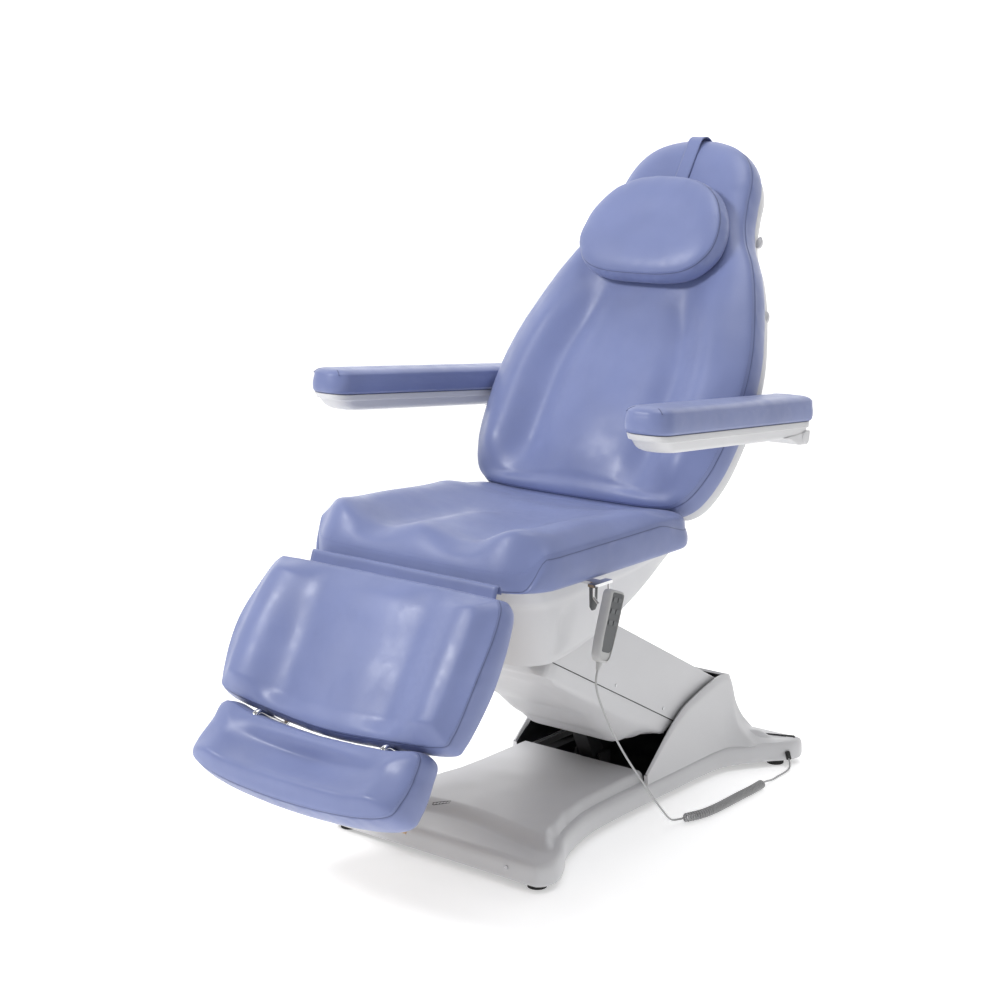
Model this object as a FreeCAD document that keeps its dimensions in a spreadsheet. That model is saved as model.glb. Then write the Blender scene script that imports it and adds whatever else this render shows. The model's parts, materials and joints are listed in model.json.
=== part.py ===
"""Electric treatment chair: base, lifting arm, seat, back, leg rest, foot rest and handset.

Millimetres, +Z up, origin on the floor under the middle of the chair. The sitter faces -Y,
and the handset hangs on the sitter's left, at +X.
"""
import FreeCAD, Part
import math
import os
import re

Vector = FreeCAD.Vector
X_AXIS = Vector(1, 0, 0)

# Driving dimensions. Angles are in degrees. Places named _y and _z lie in the middle plane.
SIZES = {
    "base_front": -327, "base_rear": 693, "base_wide_front": 296, "base_wide_rear": 303,
    "base_waist": 193, "base_corner": 40, "skirt_low": 12, "skirt_top": 58, "deck_top": 80,
    "deck_inset": 34, "cover_wall": 4, "tower_half": 185, "tower_slot": 177,
    "rail_across": 30, "rail_tall": 26, "rail_low": 22, "rail_place": 145,
    "foot_radius": 20, "foot_tall": 12, "stud_radius": 5,
    "lift_y": 478, "lift_z": 170, "lift_slope": 28.3, "arm_reach": 590.6, "link_drop": 60,
    "shaft_radius": 12, "pin_radius": 8, "hinge_gap": 0.1,
    "plate": 8, "arm_plate_place": 96, "seat_plate_place": 136, "tower_plate_place": 126,
    "cover_half": 170, "belly_half": 125, "box_tall": 24,
    "motor_y": 250, "motor_z": 70, "motor_lean": 25.4, "motor_reach": 331, "lug_reach": 420,
    "motor_radius": 20, "rod_radius": 9, "bore_radius": 12, "eye_tall": 38, "eye_wide": 34,
    "window_tall": 28, "window_wide": 24, "eye_half": 12, "small_pin": 5,
    "seat_under": 618, "seat_front": -387, "seat_half": 306, "seat_thick": 92,
    "pan_top": 616, "pan_half_top": 242, "pan_half_low": 202, "board_low": 600, "board": 12,
    "leg_y": -382, "leg_z": 600, "leg_slope": 55, "leg_half": 300, "leg_under": 21,
    "leg_crown": 90, "foot_under": 22, "foot_crown": 126, "foot_half": 264, "foot_start": 347,
    "foot_end": 493, "tube_place": 168, "tube_radius": 12, "slider_radius": 7, "tube_drop": -8,
    "back_y": 193, "back_z": 600, "back_slope": 57, "back_under": 10, "back_crown": 97,
    "back_long": 972, "crown_round": 28, "shell_back": -32, "shell_wall": 4,
    "arm_pivot_v": 323.9, "arm_pivot_n": -57.9, "arm_shaft": 10, "arm_place": 385,
    "arm_tilt": 5, "toe_out": 3, "arm_long": 640, "arm_wide": 104, "pad_low": 28,
    "pad_thick": 54, "arm_shell_tall": 36,
    "pillow_v": 703, "pillow_tall": 250, "pillow_half": 190, "pillow_low": 98, "pillow_thick": 68,
    "hand_x": 341, "hand_y": -156, "hand_z": 600, "hand_lean": 20, "hand_long": 146,
    "hand_wide": 50, "hand_thick": 24, "key_wide": 13, "key_tall": 9, "key_rise": 2,
    "key_step_y": 8.5, "key_step_z": 23,
    "cord_radius": 2.5, "curl_radius": 11,
}

document = FreeCAD.newDocument("treatment_chair")
sheet = document.addObject("Spreadsheet::Sheet", "Sizes")
for row, (alias, number) in enumerate(SIZES.items(), start=1):
    sheet.set(f"A{row}", alias)
    sheet.set(f"B{row}", str(number))
    sheet.setAlias(f"B{row}", alias)
document.recompute()

WORD = re.compile(r"[a-z][a-z_]*")
KEYS = 6
subparts = []


def formula(text):
    """An expression on the sheet: each word in the text is the name of a cell."""
    return WORD.sub(lambda word: "Sizes." + word.group(0), str(text))


def size(name):
    """The value of one cell."""
    return float(sheet.get(name))


def bind(item, **formulas):
    """Bind properties to the sheet; two underscores in a name stand for a dot."""
    for name, text in formulas.items():
        item.setExpression(name.replace("__", "."), formula(text))
    return item


# ------------------------------------------------------------------ frames of the moving parts
# Each slanted assembly is drawn flat, with its hinge at the origin, and then turned about X.
FRAMES = {
    "lift": ("lift_y", "lift_z", "lift_slope", -1),
    "leg": ("leg_y", "leg_z", "leg_slope", 1),
    "back": ("back_y", "back_z", "back_slope", 1),
    "lift_motor": ("motor_y", "motor_z", "motor_lean", 1),
}


def place(item, frame):
    """Put an item that was drawn at the origin into its assembly's frame."""
    if frame in FRAMES:
        y, z, angle, turn = FRAMES[frame]
        item.Placement = FreeCAD.Placement(Vector(), FreeCAD.Rotation(Vector(turn, 0, 0), 1))
        bind(item, Placement__Base__y=y, Placement__Base__z=z, Placement__Rotation__Angle=angle)
    return item


def subpart(label, *solids, frame="world"):
    """One named sub-part, made of one or more separate solids."""
    if len(solids) == 1 and (frame == "world" or solids[0].TypeId == "PartDesign::Body"):
        node = solids[0]
    else:
        node = document.addObject("Part::Compound", label)
        node.Links = list(solids)
    node.Label = label
    place(node, frame)
    subparts.append(node)
    return node


# ------------------------------------------------------------------ simple solids
def box(x, y, z, across, along, tall):
    """A box from its lowest corner and its three sides."""
    item = document.addObject("Part::Box", "box")
    return bind(item, Length=across, Width=along, Height=tall,
                Placement__Base__x=x, Placement__Base__y=y, Placement__Base__z=z)


def pair(place_x, y, z, across, along, tall):
    """Two boxes, one each side: place_x is the inner face's distance from the middle."""
    return (box(place_x, y, z, across, along, tall),
            box(f"-({place_x})-({across})", y, z, across, along, tall))


def cross(half, y, z, along, tall):
    """A box that spans both sides of the middle plane."""
    return box(f"-({half})", y, z, f"2*({half})", along, tall)


def round_bar(x, y, z, radius, length, axis="X"):
    """A round bar that starts at x, y, z and runs along +X, +Y or +Z."""
    item = document.addObject("Part::Cylinder", "round_bar")
    turn = {"X": FreeCAD.Rotation(Vector(0, 1, 0), 90),
            "Y": FreeCAD.Rotation(Vector(1, 0, 0), -90),
            "Z": FreeCAD.Rotation()}[axis]
    item.Placement = FreeCAD.Placement(Vector(), turn)
    return bind(item, Radius=radius, Height=length,
                Placement__Base__x=x, Placement__Base__y=y, Placement__Base__z=z)


def cross_bar(half, y, z, radius):
    """A round bar along X, spanning both sides of the middle plane."""
    return round_bar(f"-({half})", y, z, radius, f"2*({half})")


def cut(base, *tools):
    """The base with every tool taken out of it."""
    for tool in tools:
        item = document.addObject("Part::Cut", "cut")
        item.Base = base
        item.Tool = tool
        base = item
    return base


def fuse(*items):
    """Several touching solids made one."""
    item = document.addObject("Part::MultiFuse", "fuse")
    item.Shapes = list(items)
    return item


def plate(points, x, thick):
    """A flat plate across X: the outline gives (y, z) corners."""
    outline = document.addObject("Part::Polygon", "outline")
    outline.Nodes = [Vector(0, y, z) for y, z in points]
    outline.Close = True
    item = document.addObject("Part::Extrusion", "plate")
    item.Base = outline
    item.DirMode = "Custom"
    item.Dir = X_AXIS
    item.Solid = True
    return bind(item, LengthFwd=thick, Placement__Base__x=x)


def wide_plate(points, half):
    """A plate that spans both sides of the middle plane."""
    return plate(points, f"-({half})", f"2*({half})")


def shape_part(name, shape):
    """A document object that holds a shape made in code."""
    item = document.addObject("Part::Feature", name)
    item.Shape = shape
    return item


# ------------------------------------------------------------------ sketched bodies
def lines(points, closed=True):
    """Straight edges through a list of sketch points."""
    ends = points[1:] + points[:1] if closed else points[1:]
    return [Part.LineSegment(Vector(*a, 0), Vector(*b, 0)) for a, b in zip(points, ends)]


def smooth(points):
    """One smooth edge through a list of sketch points."""
    curve = Part.BSplineCurve()
    curve.interpolate([Vector(*point, 0) for point in points])
    return curve


def arc(start, middle, end):
    """A round edge through three sketch points."""
    return Part.Arc(Vector(*start, 0), Vector(*middle, 0), Vector(*end, 0))


def mirrored(points):
    """The same points on the other side of the middle plane, in reverse order."""
    return [(-x, y) for x, y in reversed(points)]


def sketch_on(body, plane, edges, offset="0"):
    """A sketch on one of the body's own origin planes, raised by an offset."""
    sketch = body.newObject("Sketcher::SketchObject", body.Name + "_sketch")
    support = next(item for item in body.Origin.OriginFeatures if item.Role == plane)
    sketch.AttachmentSupport = (support, [""])
    sketch.MapMode = "FlatFace"
    sketch.addGeometry(edges, False)
    return bind(sketch, AttachmentOffset__Base__z=offset)


def pad(body, plane, edges, length, offset="0", both_ways=False):
    """Add material: the sketch's outline, as deep as length."""
    feature = body.newObject("PartDesign::Pad", body.Name + "_pad")
    feature.Profile = sketch_on(body, plane, edges, offset)
    if both_ways:
        feature.SideType = "Symmetric"
    return bind(feature, Length=length)


def pocket(body, plane, edges, length, offset="0", both_ways=False):
    """Take material away, upward from an XY sketch or both ways from a YZ sketch."""
    feature = body.newObject("PartDesign::Pocket", body.Name + "_pocket")
    feature.Profile = sketch_on(body, plane, edges, offset)
    if both_ways:
        feature.SideType = "Symmetric"
    else:
        feature.Reversed = True
    return bind(feature, Length=length)


def new_body(label):
    """An empty body."""
    return document.addObject("PartDesign::Body", label)


def soften(body, radius, wanted):
    """Round the edges of the body that pass the test, when the kernel can do it."""
    document.recompute()
    names = [f"Edge{index}" for index, edge in enumerate(body.Shape.Edges, start=1) if wanted(edge)]
    feature = body.newObject("PartDesign::Fillet", body.Name + "_fillet")
    feature.Base = (feature.BaseFeature, names)
    feature.Radius = radius
    return feature


# ------------------------------------------------------------------ round routes, for wire and cord
def route_tube(points, radius, bend=None):
    """A tube along straight runs that are joined by tangent arcs.

    A bend of None makes each arc as large as its two runs allow.
    """
    points = [Vector(*point) for point in points]
    edges = []
    start = points[0]
    for before, corner, after in zip(points, points[1:], points[2:]):
        inward = (corner - before).normalize()
        outward = (after - corner).normalize()
        half_turn = inward.getAngle(outward) / 2
        trim = 0.45 * min((corner - before).Length, (after - corner).Length)
        arc_radius = trim / math.tan(half_turn)
        if bend is not None:
            arc_radius = min(bend, arc_radius)
            trim = arc_radius * math.tan(half_turn)
        first = corner - inward * trim
        last = corner + outward * trim
        toward_centre = (outward - inward).normalize()
        middle = corner + toward_centre * (arc_radius / math.cos(half_turn) - arc_radius)
        edges.append(Part.LineSegment(start, first).toShape())
        edges.append(Part.Arc(first, middle, last).toShape())
        start = last
        if bend is None:
            print(f"  arc radius {arc_radius:.1f} mm")
    edges.append(Part.LineSegment(start, points[-1]).toShape())
    path = Part.Wire(edges)
    ring = Part.Circle(points[0], points[1] - points[0], radius).toShape()
    tube = path.makePipeShell([Part.Wire([ring])], True, False)
    print(f"  tube volume {tube.Volume:.0f}, section by length"
          f" {math.pi * radius ** 2 * path.Length:.0f}, length {path.Length:.0f} mm")
    return tube


# ================================================================== base
def base_outline(inset):
    """Plan of the base: broad ends and a narrow waist, moved inward by an inset."""
    front = size("base_front") + inset
    rear = size("base_rear") - inset
    corner = size("base_corner")
    wide = size("base_wide_front") - inset
    wide_rear = size("base_wide_rear") - inset
    waist = size("base_waist") - inset
    diagonal = corner * (1 - math.sqrt(0.5))
    side = [(wide, front + corner), (wide - 8, front + 76), (waist + 46, front + 155),
            (waist + 19, front + 235), (waist + 1, front + 313), (waist, front + 430),
            (waist, front + 640), (waist + 9, rear - 189), (waist + 59, rear - 118),
            (wide_rear, rear - corner)]
    edges = [smooth(side), smooth(mirrored(side))]
    for sign in (1, -1):
        edges.append(arc((sign * (wide - corner), front), (sign * (wide - diagonal), front + diagonal),
                         (sign * wide, front + corner)))
        edges.append(arc((sign * wide_rear, rear - corner),
                         (sign * (wide_rear - diagonal), rear - diagonal),
                         (sign * (wide_rear - corner), rear)))
    edges += lines([(-(wide - corner), front), (wide - corner, front)], closed=False)
    edges += lines([(wide_rear - corner, rear), (-(wide_rear - corner), rear)], closed=False)
    return edges


def base_cover():
    """One moulded cover: skirt, raised deck and the tower's two cheeks and rear wall."""
    wall = size("cover_wall")
    body = new_body("base_cover")
    pad(body, "XY_Plane", base_outline(0), "skirt_top-skirt_low", "skirt_low")
    pad(body, "XY_Plane", deck_outline(0), "deck_top-skirt_top", "skirt_top")
    cheek = [(200, 60), (200, 84), (307, 172), (400, 215), (483, 234), (535, 233), (566, 160),
             (636, 78), (650, 60)]
    pad(body, "YZ_Plane", lines(cheek), "2*tower_half", both_ways=True)
    pocket(body, "XY_Plane", base_outline(wall), "skirt_top-skirt_low-cover_wall", "skirt_low")
    pocket(body, "XY_Plane", deck_outline(wall), "deck_top-skirt_low-cover_wall", "skirt_low")
    slot = [(190, 8), (190, 300), (529, 300), (529, 233), (558, 160), (630, 74), (630, 8)]
    pocket(body, "YZ_Plane", lines(slot), "2*tower_slot", both_ways=True)
    return subpart("base_cover", body)


def deck_outline(wall):
    """Plan of the raised deck, inside the skirt's shoulder."""
    inset = size("deck_inset") + wall
    front = size("base_front") + inset + 10
    rear = size("base_rear") - inset
    wide = size("base_wide_front") - inset - 24
    waist = size("base_waist") - 2 - wall
    side = [(wide, front), (waist + 18, front + 140), (waist, front + 300), (waist, rear - 200),
            (wide, rear)]
    edges = [smooth(side), smooth(mirrored(side))]
    edges += lines([(-wide, front), (wide, front)], closed=False)
    edges += lines([(wide, rear), (-wide, rear)], closed=False)
    return edges


def base_frame():
    """Welded steel: two rails, four cross members, tower plates and the motor's bracket."""
    rails = pair("rail_place-rail_across/2", -277, "rail_low", "rail_across", 900, "rail_tall")
    ends = [cross(276, y, "rail_low", 30, "rail_tall") for y in (-307, 623)]
    ties = [cross("rail_place-rail_across/2", y, "rail_low", 20, "rail_tall") for y in (-60, 240)]
    towers = pair("tower_plate_place", 440, "rail_low+rail_tall", "plate", 80, 152)
    ears = pair(30, 230, "rail_low+rail_tall", 6, 40, 37)
    subpart("base_frame", *rails, *ends, *ties, *towers, *ears)


def base_fittings():
    """Shafts and pins, feet and studs, screws, the control box and the mains inlet."""
    subpart("lift_pivot_shaft", cross_bar("tower_plate_place", "lift_y", "lift_z", "shaft_radius"))
    subpart("base_pins",
            cross_bar("tower_plate_place", "lift_y", "lift_z-link_drop", "pin_radius"),
            cross_bar(30, "motor_y", "motor_z", "small_pin"))
    corners = [(x, y) for x in (-256, 256) for y in (-292, 638)]
    subpart("rubber_feet", *[round_bar(x, y, 0, "foot_radius", "foot_tall", "Z")
                             for x, y in corners])
    subpart("foot_studs", *[round_bar(x, y, "foot_tall", "stud_radius", "rail_low-foot_tall", "Z")
                            for x, y in corners])
    subpart("cover_screws", *[round_bar(x, "base_front-2", 38, 4.5, 2, "Y") for x in (-205, 205)])
    subpart("control_box", cross("rail_place+rail_across/2", -170, "rail_low+rail_tall", 100, "box_tall"))
    subpart("mains_inlet", box(120, "base_rear", 22, 50, 9, 27))


# ================================================================== lifting arm, in its own frame
def lift_arm():
    """Two steel side plates with bores at both ends, three ties and the motor's lug."""
    bored = []
    for side in pair("arm_plate_place", "-arm_reach-22", -20, "plate", "arm_reach+44", 58):
        bores = [cross_bar(120, y, 0, "shaft_radius+hinge_gap") for y in (0, "-arm_reach")]
        bored.append(cut(side, *bores))
    ties = [cross("arm_plate_place", y, z, 30, 12) for y, z in ((-520, 26), (-435, 34), (-150, 26))]
    lugs = pair(18, "-lug_reach-16", -14, 6, 32, 48)
    pin = cross_bar(18, "-lug_reach", 0, "small_pin")
    subpart("lift_arm_frame", *bored, *ties, *lugs, pin, frame="lift")


def arm_covers():
    """The arm's two plastic covers, which meet along a straight seam."""
    top = new_body("arm_cover_top")
    side = [(-655, -75), (-118, -75), (-40, -60), (10, -20), (10, 60), (-620, 60), (-655, 25)]
    pad(top, "YZ_Plane", lines(side), "2*cover_half", both_ways=True)
    hollow = [(-700, -100), (50, -100), (50, 56), (-500, 56), (-500, 80), (-700, 80)]
    pocket(top, "YZ_Plane", lines(hollow), "2*(cover_half-cover_wall)", both_ways=True)
    subpart("arm_cover_top", top, frame="lift")

    tub = new_body("arm_cover_tub")
    band = [(-650, -75.3), (-122, -75.3), (-150, -118), (-640, -118)]
    belly = [(-705, -105), (-650, -92), (-200, -95), (-210, -136), (-252, -168), (-275, -168),
             (-425, -138)]
    pad(tub, "YZ_Plane", lines(band), "2*(cover_half-1)", both_ways=True)
    pad(tub, "YZ_Plane", lines(belly), "2*belly_half", both_ways=True)
    band_hollow = [(-646, -60), (-110, -60), (-140, -114), (-636, -114)]
    belly_hollow = [(-697, -60), (-100, -60), (-140, -125), (-205, -145), (-246, -175),
                    (-262, -175), (-276, -163.8), (-425, -134), (-697, -101.5)]
    pocket(tub, "YZ_Plane", lines(band_hollow), "2*(cover_half-1-cover_wall)", both_ways=True)
    pocket(tub, "YZ_Plane", lines(belly_hollow), "2*(belly_half-cover_wall)", both_ways=True)
    subpart("arm_cover_tub", tub, frame="lift")

    heads = []
    for y in (-400, -190):
        heads.append(round_bar("cover_half", y, -60, 4, 1.5))
        heads.append(round_bar("-cover_half-1.5", y, -60, 4, 1.5))
    subpart("arm_cover_screws", *heads, frame="lift")


def level_link():
    """Two bars that keep the seat level as the arm swings, tied near both ends."""
    drop_y = size("link_drop") * math.sin(math.radians(size("lift_slope")))
    drop_z = -size("link_drop") * math.cos(math.radians(size("lift_slope")))
    front = drop_y - size("arm_reach")
    bars = []
    for bar in pair(56, front - 16, drop_z - 10, "plate", size("arm_reach") + 32, 20):
        bars.append(cut(bar, cross_bar(80, drop_y, drop_z, "pin_radius+hinge_gap"),
                        cross_bar(80, front, drop_z, "pin_radius+0.5")))
    ties = [cross(56, y, drop_z - 7, 20, 14) for y in (-540, -30)]
    subpart("level_link", *bars, *ties, frame="lift")


# ================================================================== actuators
def actuator(name, origin, frame, x, reach, tube_end, rod_start, window_shift=0):
    """A motor with a hollow tube and a rod whose end is a slotted eye.

    It is drawn along +Z from its own pin. Level actuators are laid along Y by direction.
    """
    pin_eye = cut(round_bar(x - 12, 0, 0, 14, 24), round_bar(x - 20, 0, 0, "small_pin+0.1", 40))
    motor = fuse(pin_eye, box(x - 20, -20, 10, 40, 40, 80),
                 round_bar(x, 0, 90, "motor_radius", tube_end - 90, "Z"))
    motor = cut(motor, round_bar(x, 0, 95, "bore_radius", tube_end, "Z"))
    low = reach - size("eye_wide") / 2
    eye = cut(box(x - 12, f"{window_shift}-eye_tall/2", low, 24, "eye_tall", "eye_wide"),
              box(x - 20, f"{window_shift}-window_tall/2", f"{reach}-window_wide/2", 40,
                  "window_tall", "window_wide"))
    rod = fuse(round_bar(x, 0, rod_start, "rod_radius", low - rod_start, "Z"), eye)
    for label, item in ((name + "_motor", motor), (name + "_rod", rod)):
        subpart(label, item, frame=frame)
        if origin is not None:
            item.Placement = origin


def laid(y, z, toward_y, toward_z):
    """The placement that lays a +Z actuator from one point toward another in the YZ plane."""
    along = Vector(0, toward_y - y, toward_z - z)
    return FreeCAD.Placement(Vector(0, y, z), FreeCAD.Rotation(Vector(0, 0, 1), along))


def actuators():
    """Three linear drives: lift, back and leg."""
    actuator("lift", None, "lift_motor", 0, size("motor_reach"), 240, 100)
    actuator("back", laid(-160, 552, 226.4, 538.5), "world", 60, 386.6, 292, 166, -4)
    actuator("leg", laid(60, 555, -366.5, 542), "world", -60, 426.7, 332, 212, 5)


# ================================================================== seat
def seat_frame():
    """Steel under the seat: rails, ties, the arm's hanger plates, hinge ears and brackets."""
    low = "board_low-25"
    rails = pair(192, -262, low, 22, 442, 25)
    ties = [cross(192, y, low, 30, 25) for y in (-262, -175, 45, 140)]
    hangers = pair("seat_plate_place", -72, 375, "plate", 60, 225)
    tie_hangers = [item for item in pair("seat_plate_place+plate", -72, low, 48, 60, 25)]
    shaft = cross_bar("seat_plate_place", "lift_y-520", "lift_z+280", "shaft_radius")
    link_pin = cross_bar("seat_plate_place", "lift_y-520", "lift_z+280-link_drop", "pin_radius")
    leg_ears = pair(120, -392, 586, 8, 130, 28)
    back_ears = pair(120, 170, 586, 8, 37, 28)
    back_brackets = [box(x, -172, 536, 6, 20, 39) for x in (42, 72)]
    leg_brackets = [box(x, 52, 538, 6, 20, 37) for x in (-78, -48)]
    subpart("seat_frame", *rails, *ties, *hangers, *tie_hangers, *leg_ears, *back_ears,
            *back_brackets, *leg_brackets)
    subpart("seat_shafts", shaft, link_pin)
    pins = []
    for y in ("leg_y", "back_y"):
        pins.append(round_bar(128, y, 600, 6, 18))
        pins.append(round_bar(-146, y, 600, 6, 18))
    pins.append(round_bar(48, -160, 552, "small_pin", 24))
    pins.append(round_bar(-72, 60, 555, "small_pin", 24))
    subpart("hinge_pins", *pins)


def seat_pan():
    """The white skirt under the seat: open below, with notches for the hinges and rods."""
    body = new_body("seat_pan")
    sections = []
    for half, front, rear, level in ((202, -225, 236, 410), (242, -322, 240, 616)):
        outline = [(-half, front), (half, front), (half, rear), (-half, rear)]
        sections.append(sketch_on(body, "XY_Plane", lines(outline), str(level)))
    loft = body.newObject("PartDesign::AdditiveLoft", "pan_outside")
    loft.Profile = sections[0]
    loft.Sections = sections[1:]
    sections = []
    for half, front, rear, level in ((198, -219, 245, 400), (238, -316, 245, 617)):
        outline = [(-half, front), (half, front), (half, rear), (-half, rear)]
        sections.append(sketch_on(body, "XY_Plane", lines(outline), str(level)))
    loft = body.newObject("PartDesign::SubtractiveLoft", "pan_inside")
    loft.Profile = sections[0]
    loft.Sections = sections[1:]
    below = [(-340, 380), (-340, 422), (-205, 420), (-175, 428), (-52, 445), (78, 471), (160, 500),
             (236, 560), (260, 560), (260, 380)]
    pocket(body, "YZ_Plane", lines(below), 600, both_ways=True)
    notch = [(-340, 520), (-255, 520), (-255, 640), (-340, 640)]
    pocket(body, "YZ_Plane", lines(notch), 300, both_ways=True)
    subpart("seat_pan", body)


def seat_cushions():
    """The seat's plywood board, its foam cushion and the flap that closes the gap in front."""
    subpart("seat_board", cross(200, -262, "board_low", 432, "board"))
    body = new_body("seat_cushion")
    front = size("seat_front")
    low = size("seat_under")
    high = low + size("seat_thick")
    profile = [(front, low), (front, high - 22), (front + 22, high), (120, high - 8), (134, high - 16),
               (176, low + 34), (176, low)]
    pad(body, "YZ_Plane", lines(profile), "2*seat_half", both_ways=True)
    soften(body, 38, is_upright)
    subpart("seat_cushion", body)
    subpart("gap_flap", cross(244, -397, 614, 3, 28))


def is_upright(edge):
    """A straight edge along Z."""
    return len(edge.Vertexes) == 2 and abs(edge.tangentAt(edge.FirstParameter).z) > 0.99


# ================================================================== leg rest and foot rest
def leg_rest():
    """Steel ladder with hinge ears and lever, a board, and the cushion. Drawn with -Y down."""
    bore = cross_bar(160, 0, 0, "6+hinge_gap")
    ears = [cut(ear, bore) for ear in pair(134, -32, -12, 8, 44, 24)]
    tubes = []
    for sign in (-1, 1):
        outer = round_bar(f"{sign}*tube_place", -300, "tube_drop", "tube_radius", 270, "Y")
        inner = round_bar(f"{sign}*tube_place", -310, "tube_drop", "slider_radius+0.3", 300, "Y")
        tubes.append(cut(outer, inner))
    ties = [cross(156, y, -14, 28, 18) for y in (-60, -290)]
    levers = [plate([(-60, -14), (-26, -14), (-26, -58), (-50, -58)], x, 6)
              for x in (-79, -47)]
    lever_pin = round_bar(-73, -38.6, -46, "small_pin", 26)
    subpart("leg_frame", *ears, *tubes, *ties, *levers, lever_pin, frame="leg")
    subpart("leg_board", cross(262, -300, 6, 264, 12), frame="leg")

    body = new_body("leg_cushion")
    half = size("leg_half")
    foot_side = [(-half + 6, -308), (-168, -325), (0, -336), (168, -325), (half - 6, -308)]
    outline = [smooth(foot_side)]
    outline += lines([foot_side[-1], (half, -20), (-half, -20), foot_side[0]], closed=False)
    pad(body, "XY_Plane", outline, "leg_crown-leg_under", "leg_under")
    subpart("leg_cushion", body, frame="leg")


def foot_rest():
    """Two bent rods that slide in the leg's tubes, a board, and the foot cushion."""
    drop = size("tube_drop")
    rods = []
    for side in (-1, 1):
        x = side * size("tube_place")
        path = [(x, -150, drop), (x, -336, drop), (x, -336, 84), (x, -364, 84)]
        rods.append(shape_part("foot_rod", route_tube(path, size("slider_radius") - 0.5, 12)))
    arms = [box(f"{side}*tube_place-8", -470, -14, 16, 126, 12) for side in (-1, 1)]
    subpart("foot_rods", *rods, frame="leg")
    subpart("foot_board", cross(230, -470, 6, 112, 12), *arms, frame="leg")

    body = new_body("foot_foam")
    half = size("foot_half")
    start = size("foot_start")
    end = size("foot_end")
    near = [(-half + 20, -start + 16), (-168, -start), (0, -start - 8), (168, -start),
            (half - 20, -start + 16)]
    far = [(half - 14, -end + 24), (150, -end + 6), (0, -end), (-150, -end + 6), (-half + 14, -end + 24)]
    outline = [smooth(near), smooth(far)]
    outline += lines([near[-1], (half, -start - 30), far[0]], closed=False)
    outline += lines([far[-1], (-half, -start - 30), near[0]], closed=False)
    pad(body, "XY_Plane", outline, "foot_crown-foot_under", "foot_under")
    sockets = [round_bar(f"{side}*tube_place", -366, 84, "slider_radius+0.1", 30, "Y") for side in (-1, 1)]
    subpart("foot_cushion", cut(body, *sockets), frame="leg")


# ================================================================== back, head and armrests
def back_side(inset):
    """Half outline of the back, from the lower corner up to the head: (x, y along the back)."""
    return [(262 - inset, 62 + inset), (308 - inset, 130), (330 - inset, 240), (332 - inset, 350),
            (294 - inset, 525), (236 - inset, 662), (192 - inset, 740), (174 - inset, 825)]


def back_outline(inset):
    """The whole outline, with a round head."""
    side = back_side(inset)
    top = size("back_long") - inset
    shoulder_x, shoulder_y = side[-1]
    low_x, low_y = side[0]
    head = [(shoulder_x, shoulder_y), (132 - inset * 0.8, top - 48), (0, top),
            (-132 + inset * 0.8, top - 48), (-shoulder_x, shoulder_y)]
    edges = [smooth(side), smooth(mirrored(side)), smooth(head)]
    return edges + lines([(-low_x, low_y), (low_x, low_y)], closed=False)


def back_rest():
    """Steel ladder, moulded shell and cushion. Drawn lying along +Y, face up."""
    bore = cross_bar(160, 0, 0, "6+hinge_gap")
    ears = [cut(ear, bore) for ear in pair(134, -12, -12, 8, 48, 24)]
    rails = pair(108, 66, -27, 22, 590, 20)
    ties = [cross(108, y, -27, 24, 20) for y in (90, 632)]
    heel = cross(150, 36, -27, 30, 20)
    levers = [plate([(66, -27), (36, -27), (-47, -52), (-44, -72), (-24, -76), (66, -40)], x, 6)
              for x in (41, 73)]
    lever_pin = round_bar(47, -33.4, -61.5, "small_pin", 26)
    hangers = [plate([(300, -27), (348, -27), (340, -72), (308, -72)], x, 8) for x in (-123, 115)]
    bored = [cut(item, cross_bar(200, "arm_pivot_v", "arm_pivot_n", "arm_shaft"))
             for item in hangers]
    subpart("back_frame", *ears, *rails, *ties, heel, *levers, lever_pin, *bored, frame="back")
    subpart("arm_shaft", cross_bar("arm_place+26", "arm_pivot_v", "arm_pivot_n", "arm_shaft"),
            frame="back")

    shell = new_body("back_shell")
    pad(shell, "XY_Plane", back_outline(9), "8-shell_back", "shell_back")
    pocket(shell, "XY_Plane", back_outline(13), 60, "shell_back+shell_wall")
    for x in (-119, 119):
        slot = [(x - 10, 292), (x + 10, 292), (x + 10, 356), (x - 10, 356)]
        pocket(shell, "XY_Plane", lines(slot), 20, "shell_back-5")
    mouth = [(-155, 50), (155, 50), (155, 82), (-155, 82)]
    pocket(shell, "XY_Plane", lines(mouth), 30, "shell_back-5")
    subpart("back_shell", shell, frame="back")

    cushion = new_body("back_cushion")
    pad(cushion, "XY_Plane", back_outline(0), "back_crown-back_under", "back_under")
    crown = size("back_crown")
    soften(cushion, size("crown_round"), lambda edge: edge.BoundBox.ZMin > crown - 1)
    subpart("back_cushion", cushion, frame="back")


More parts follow.
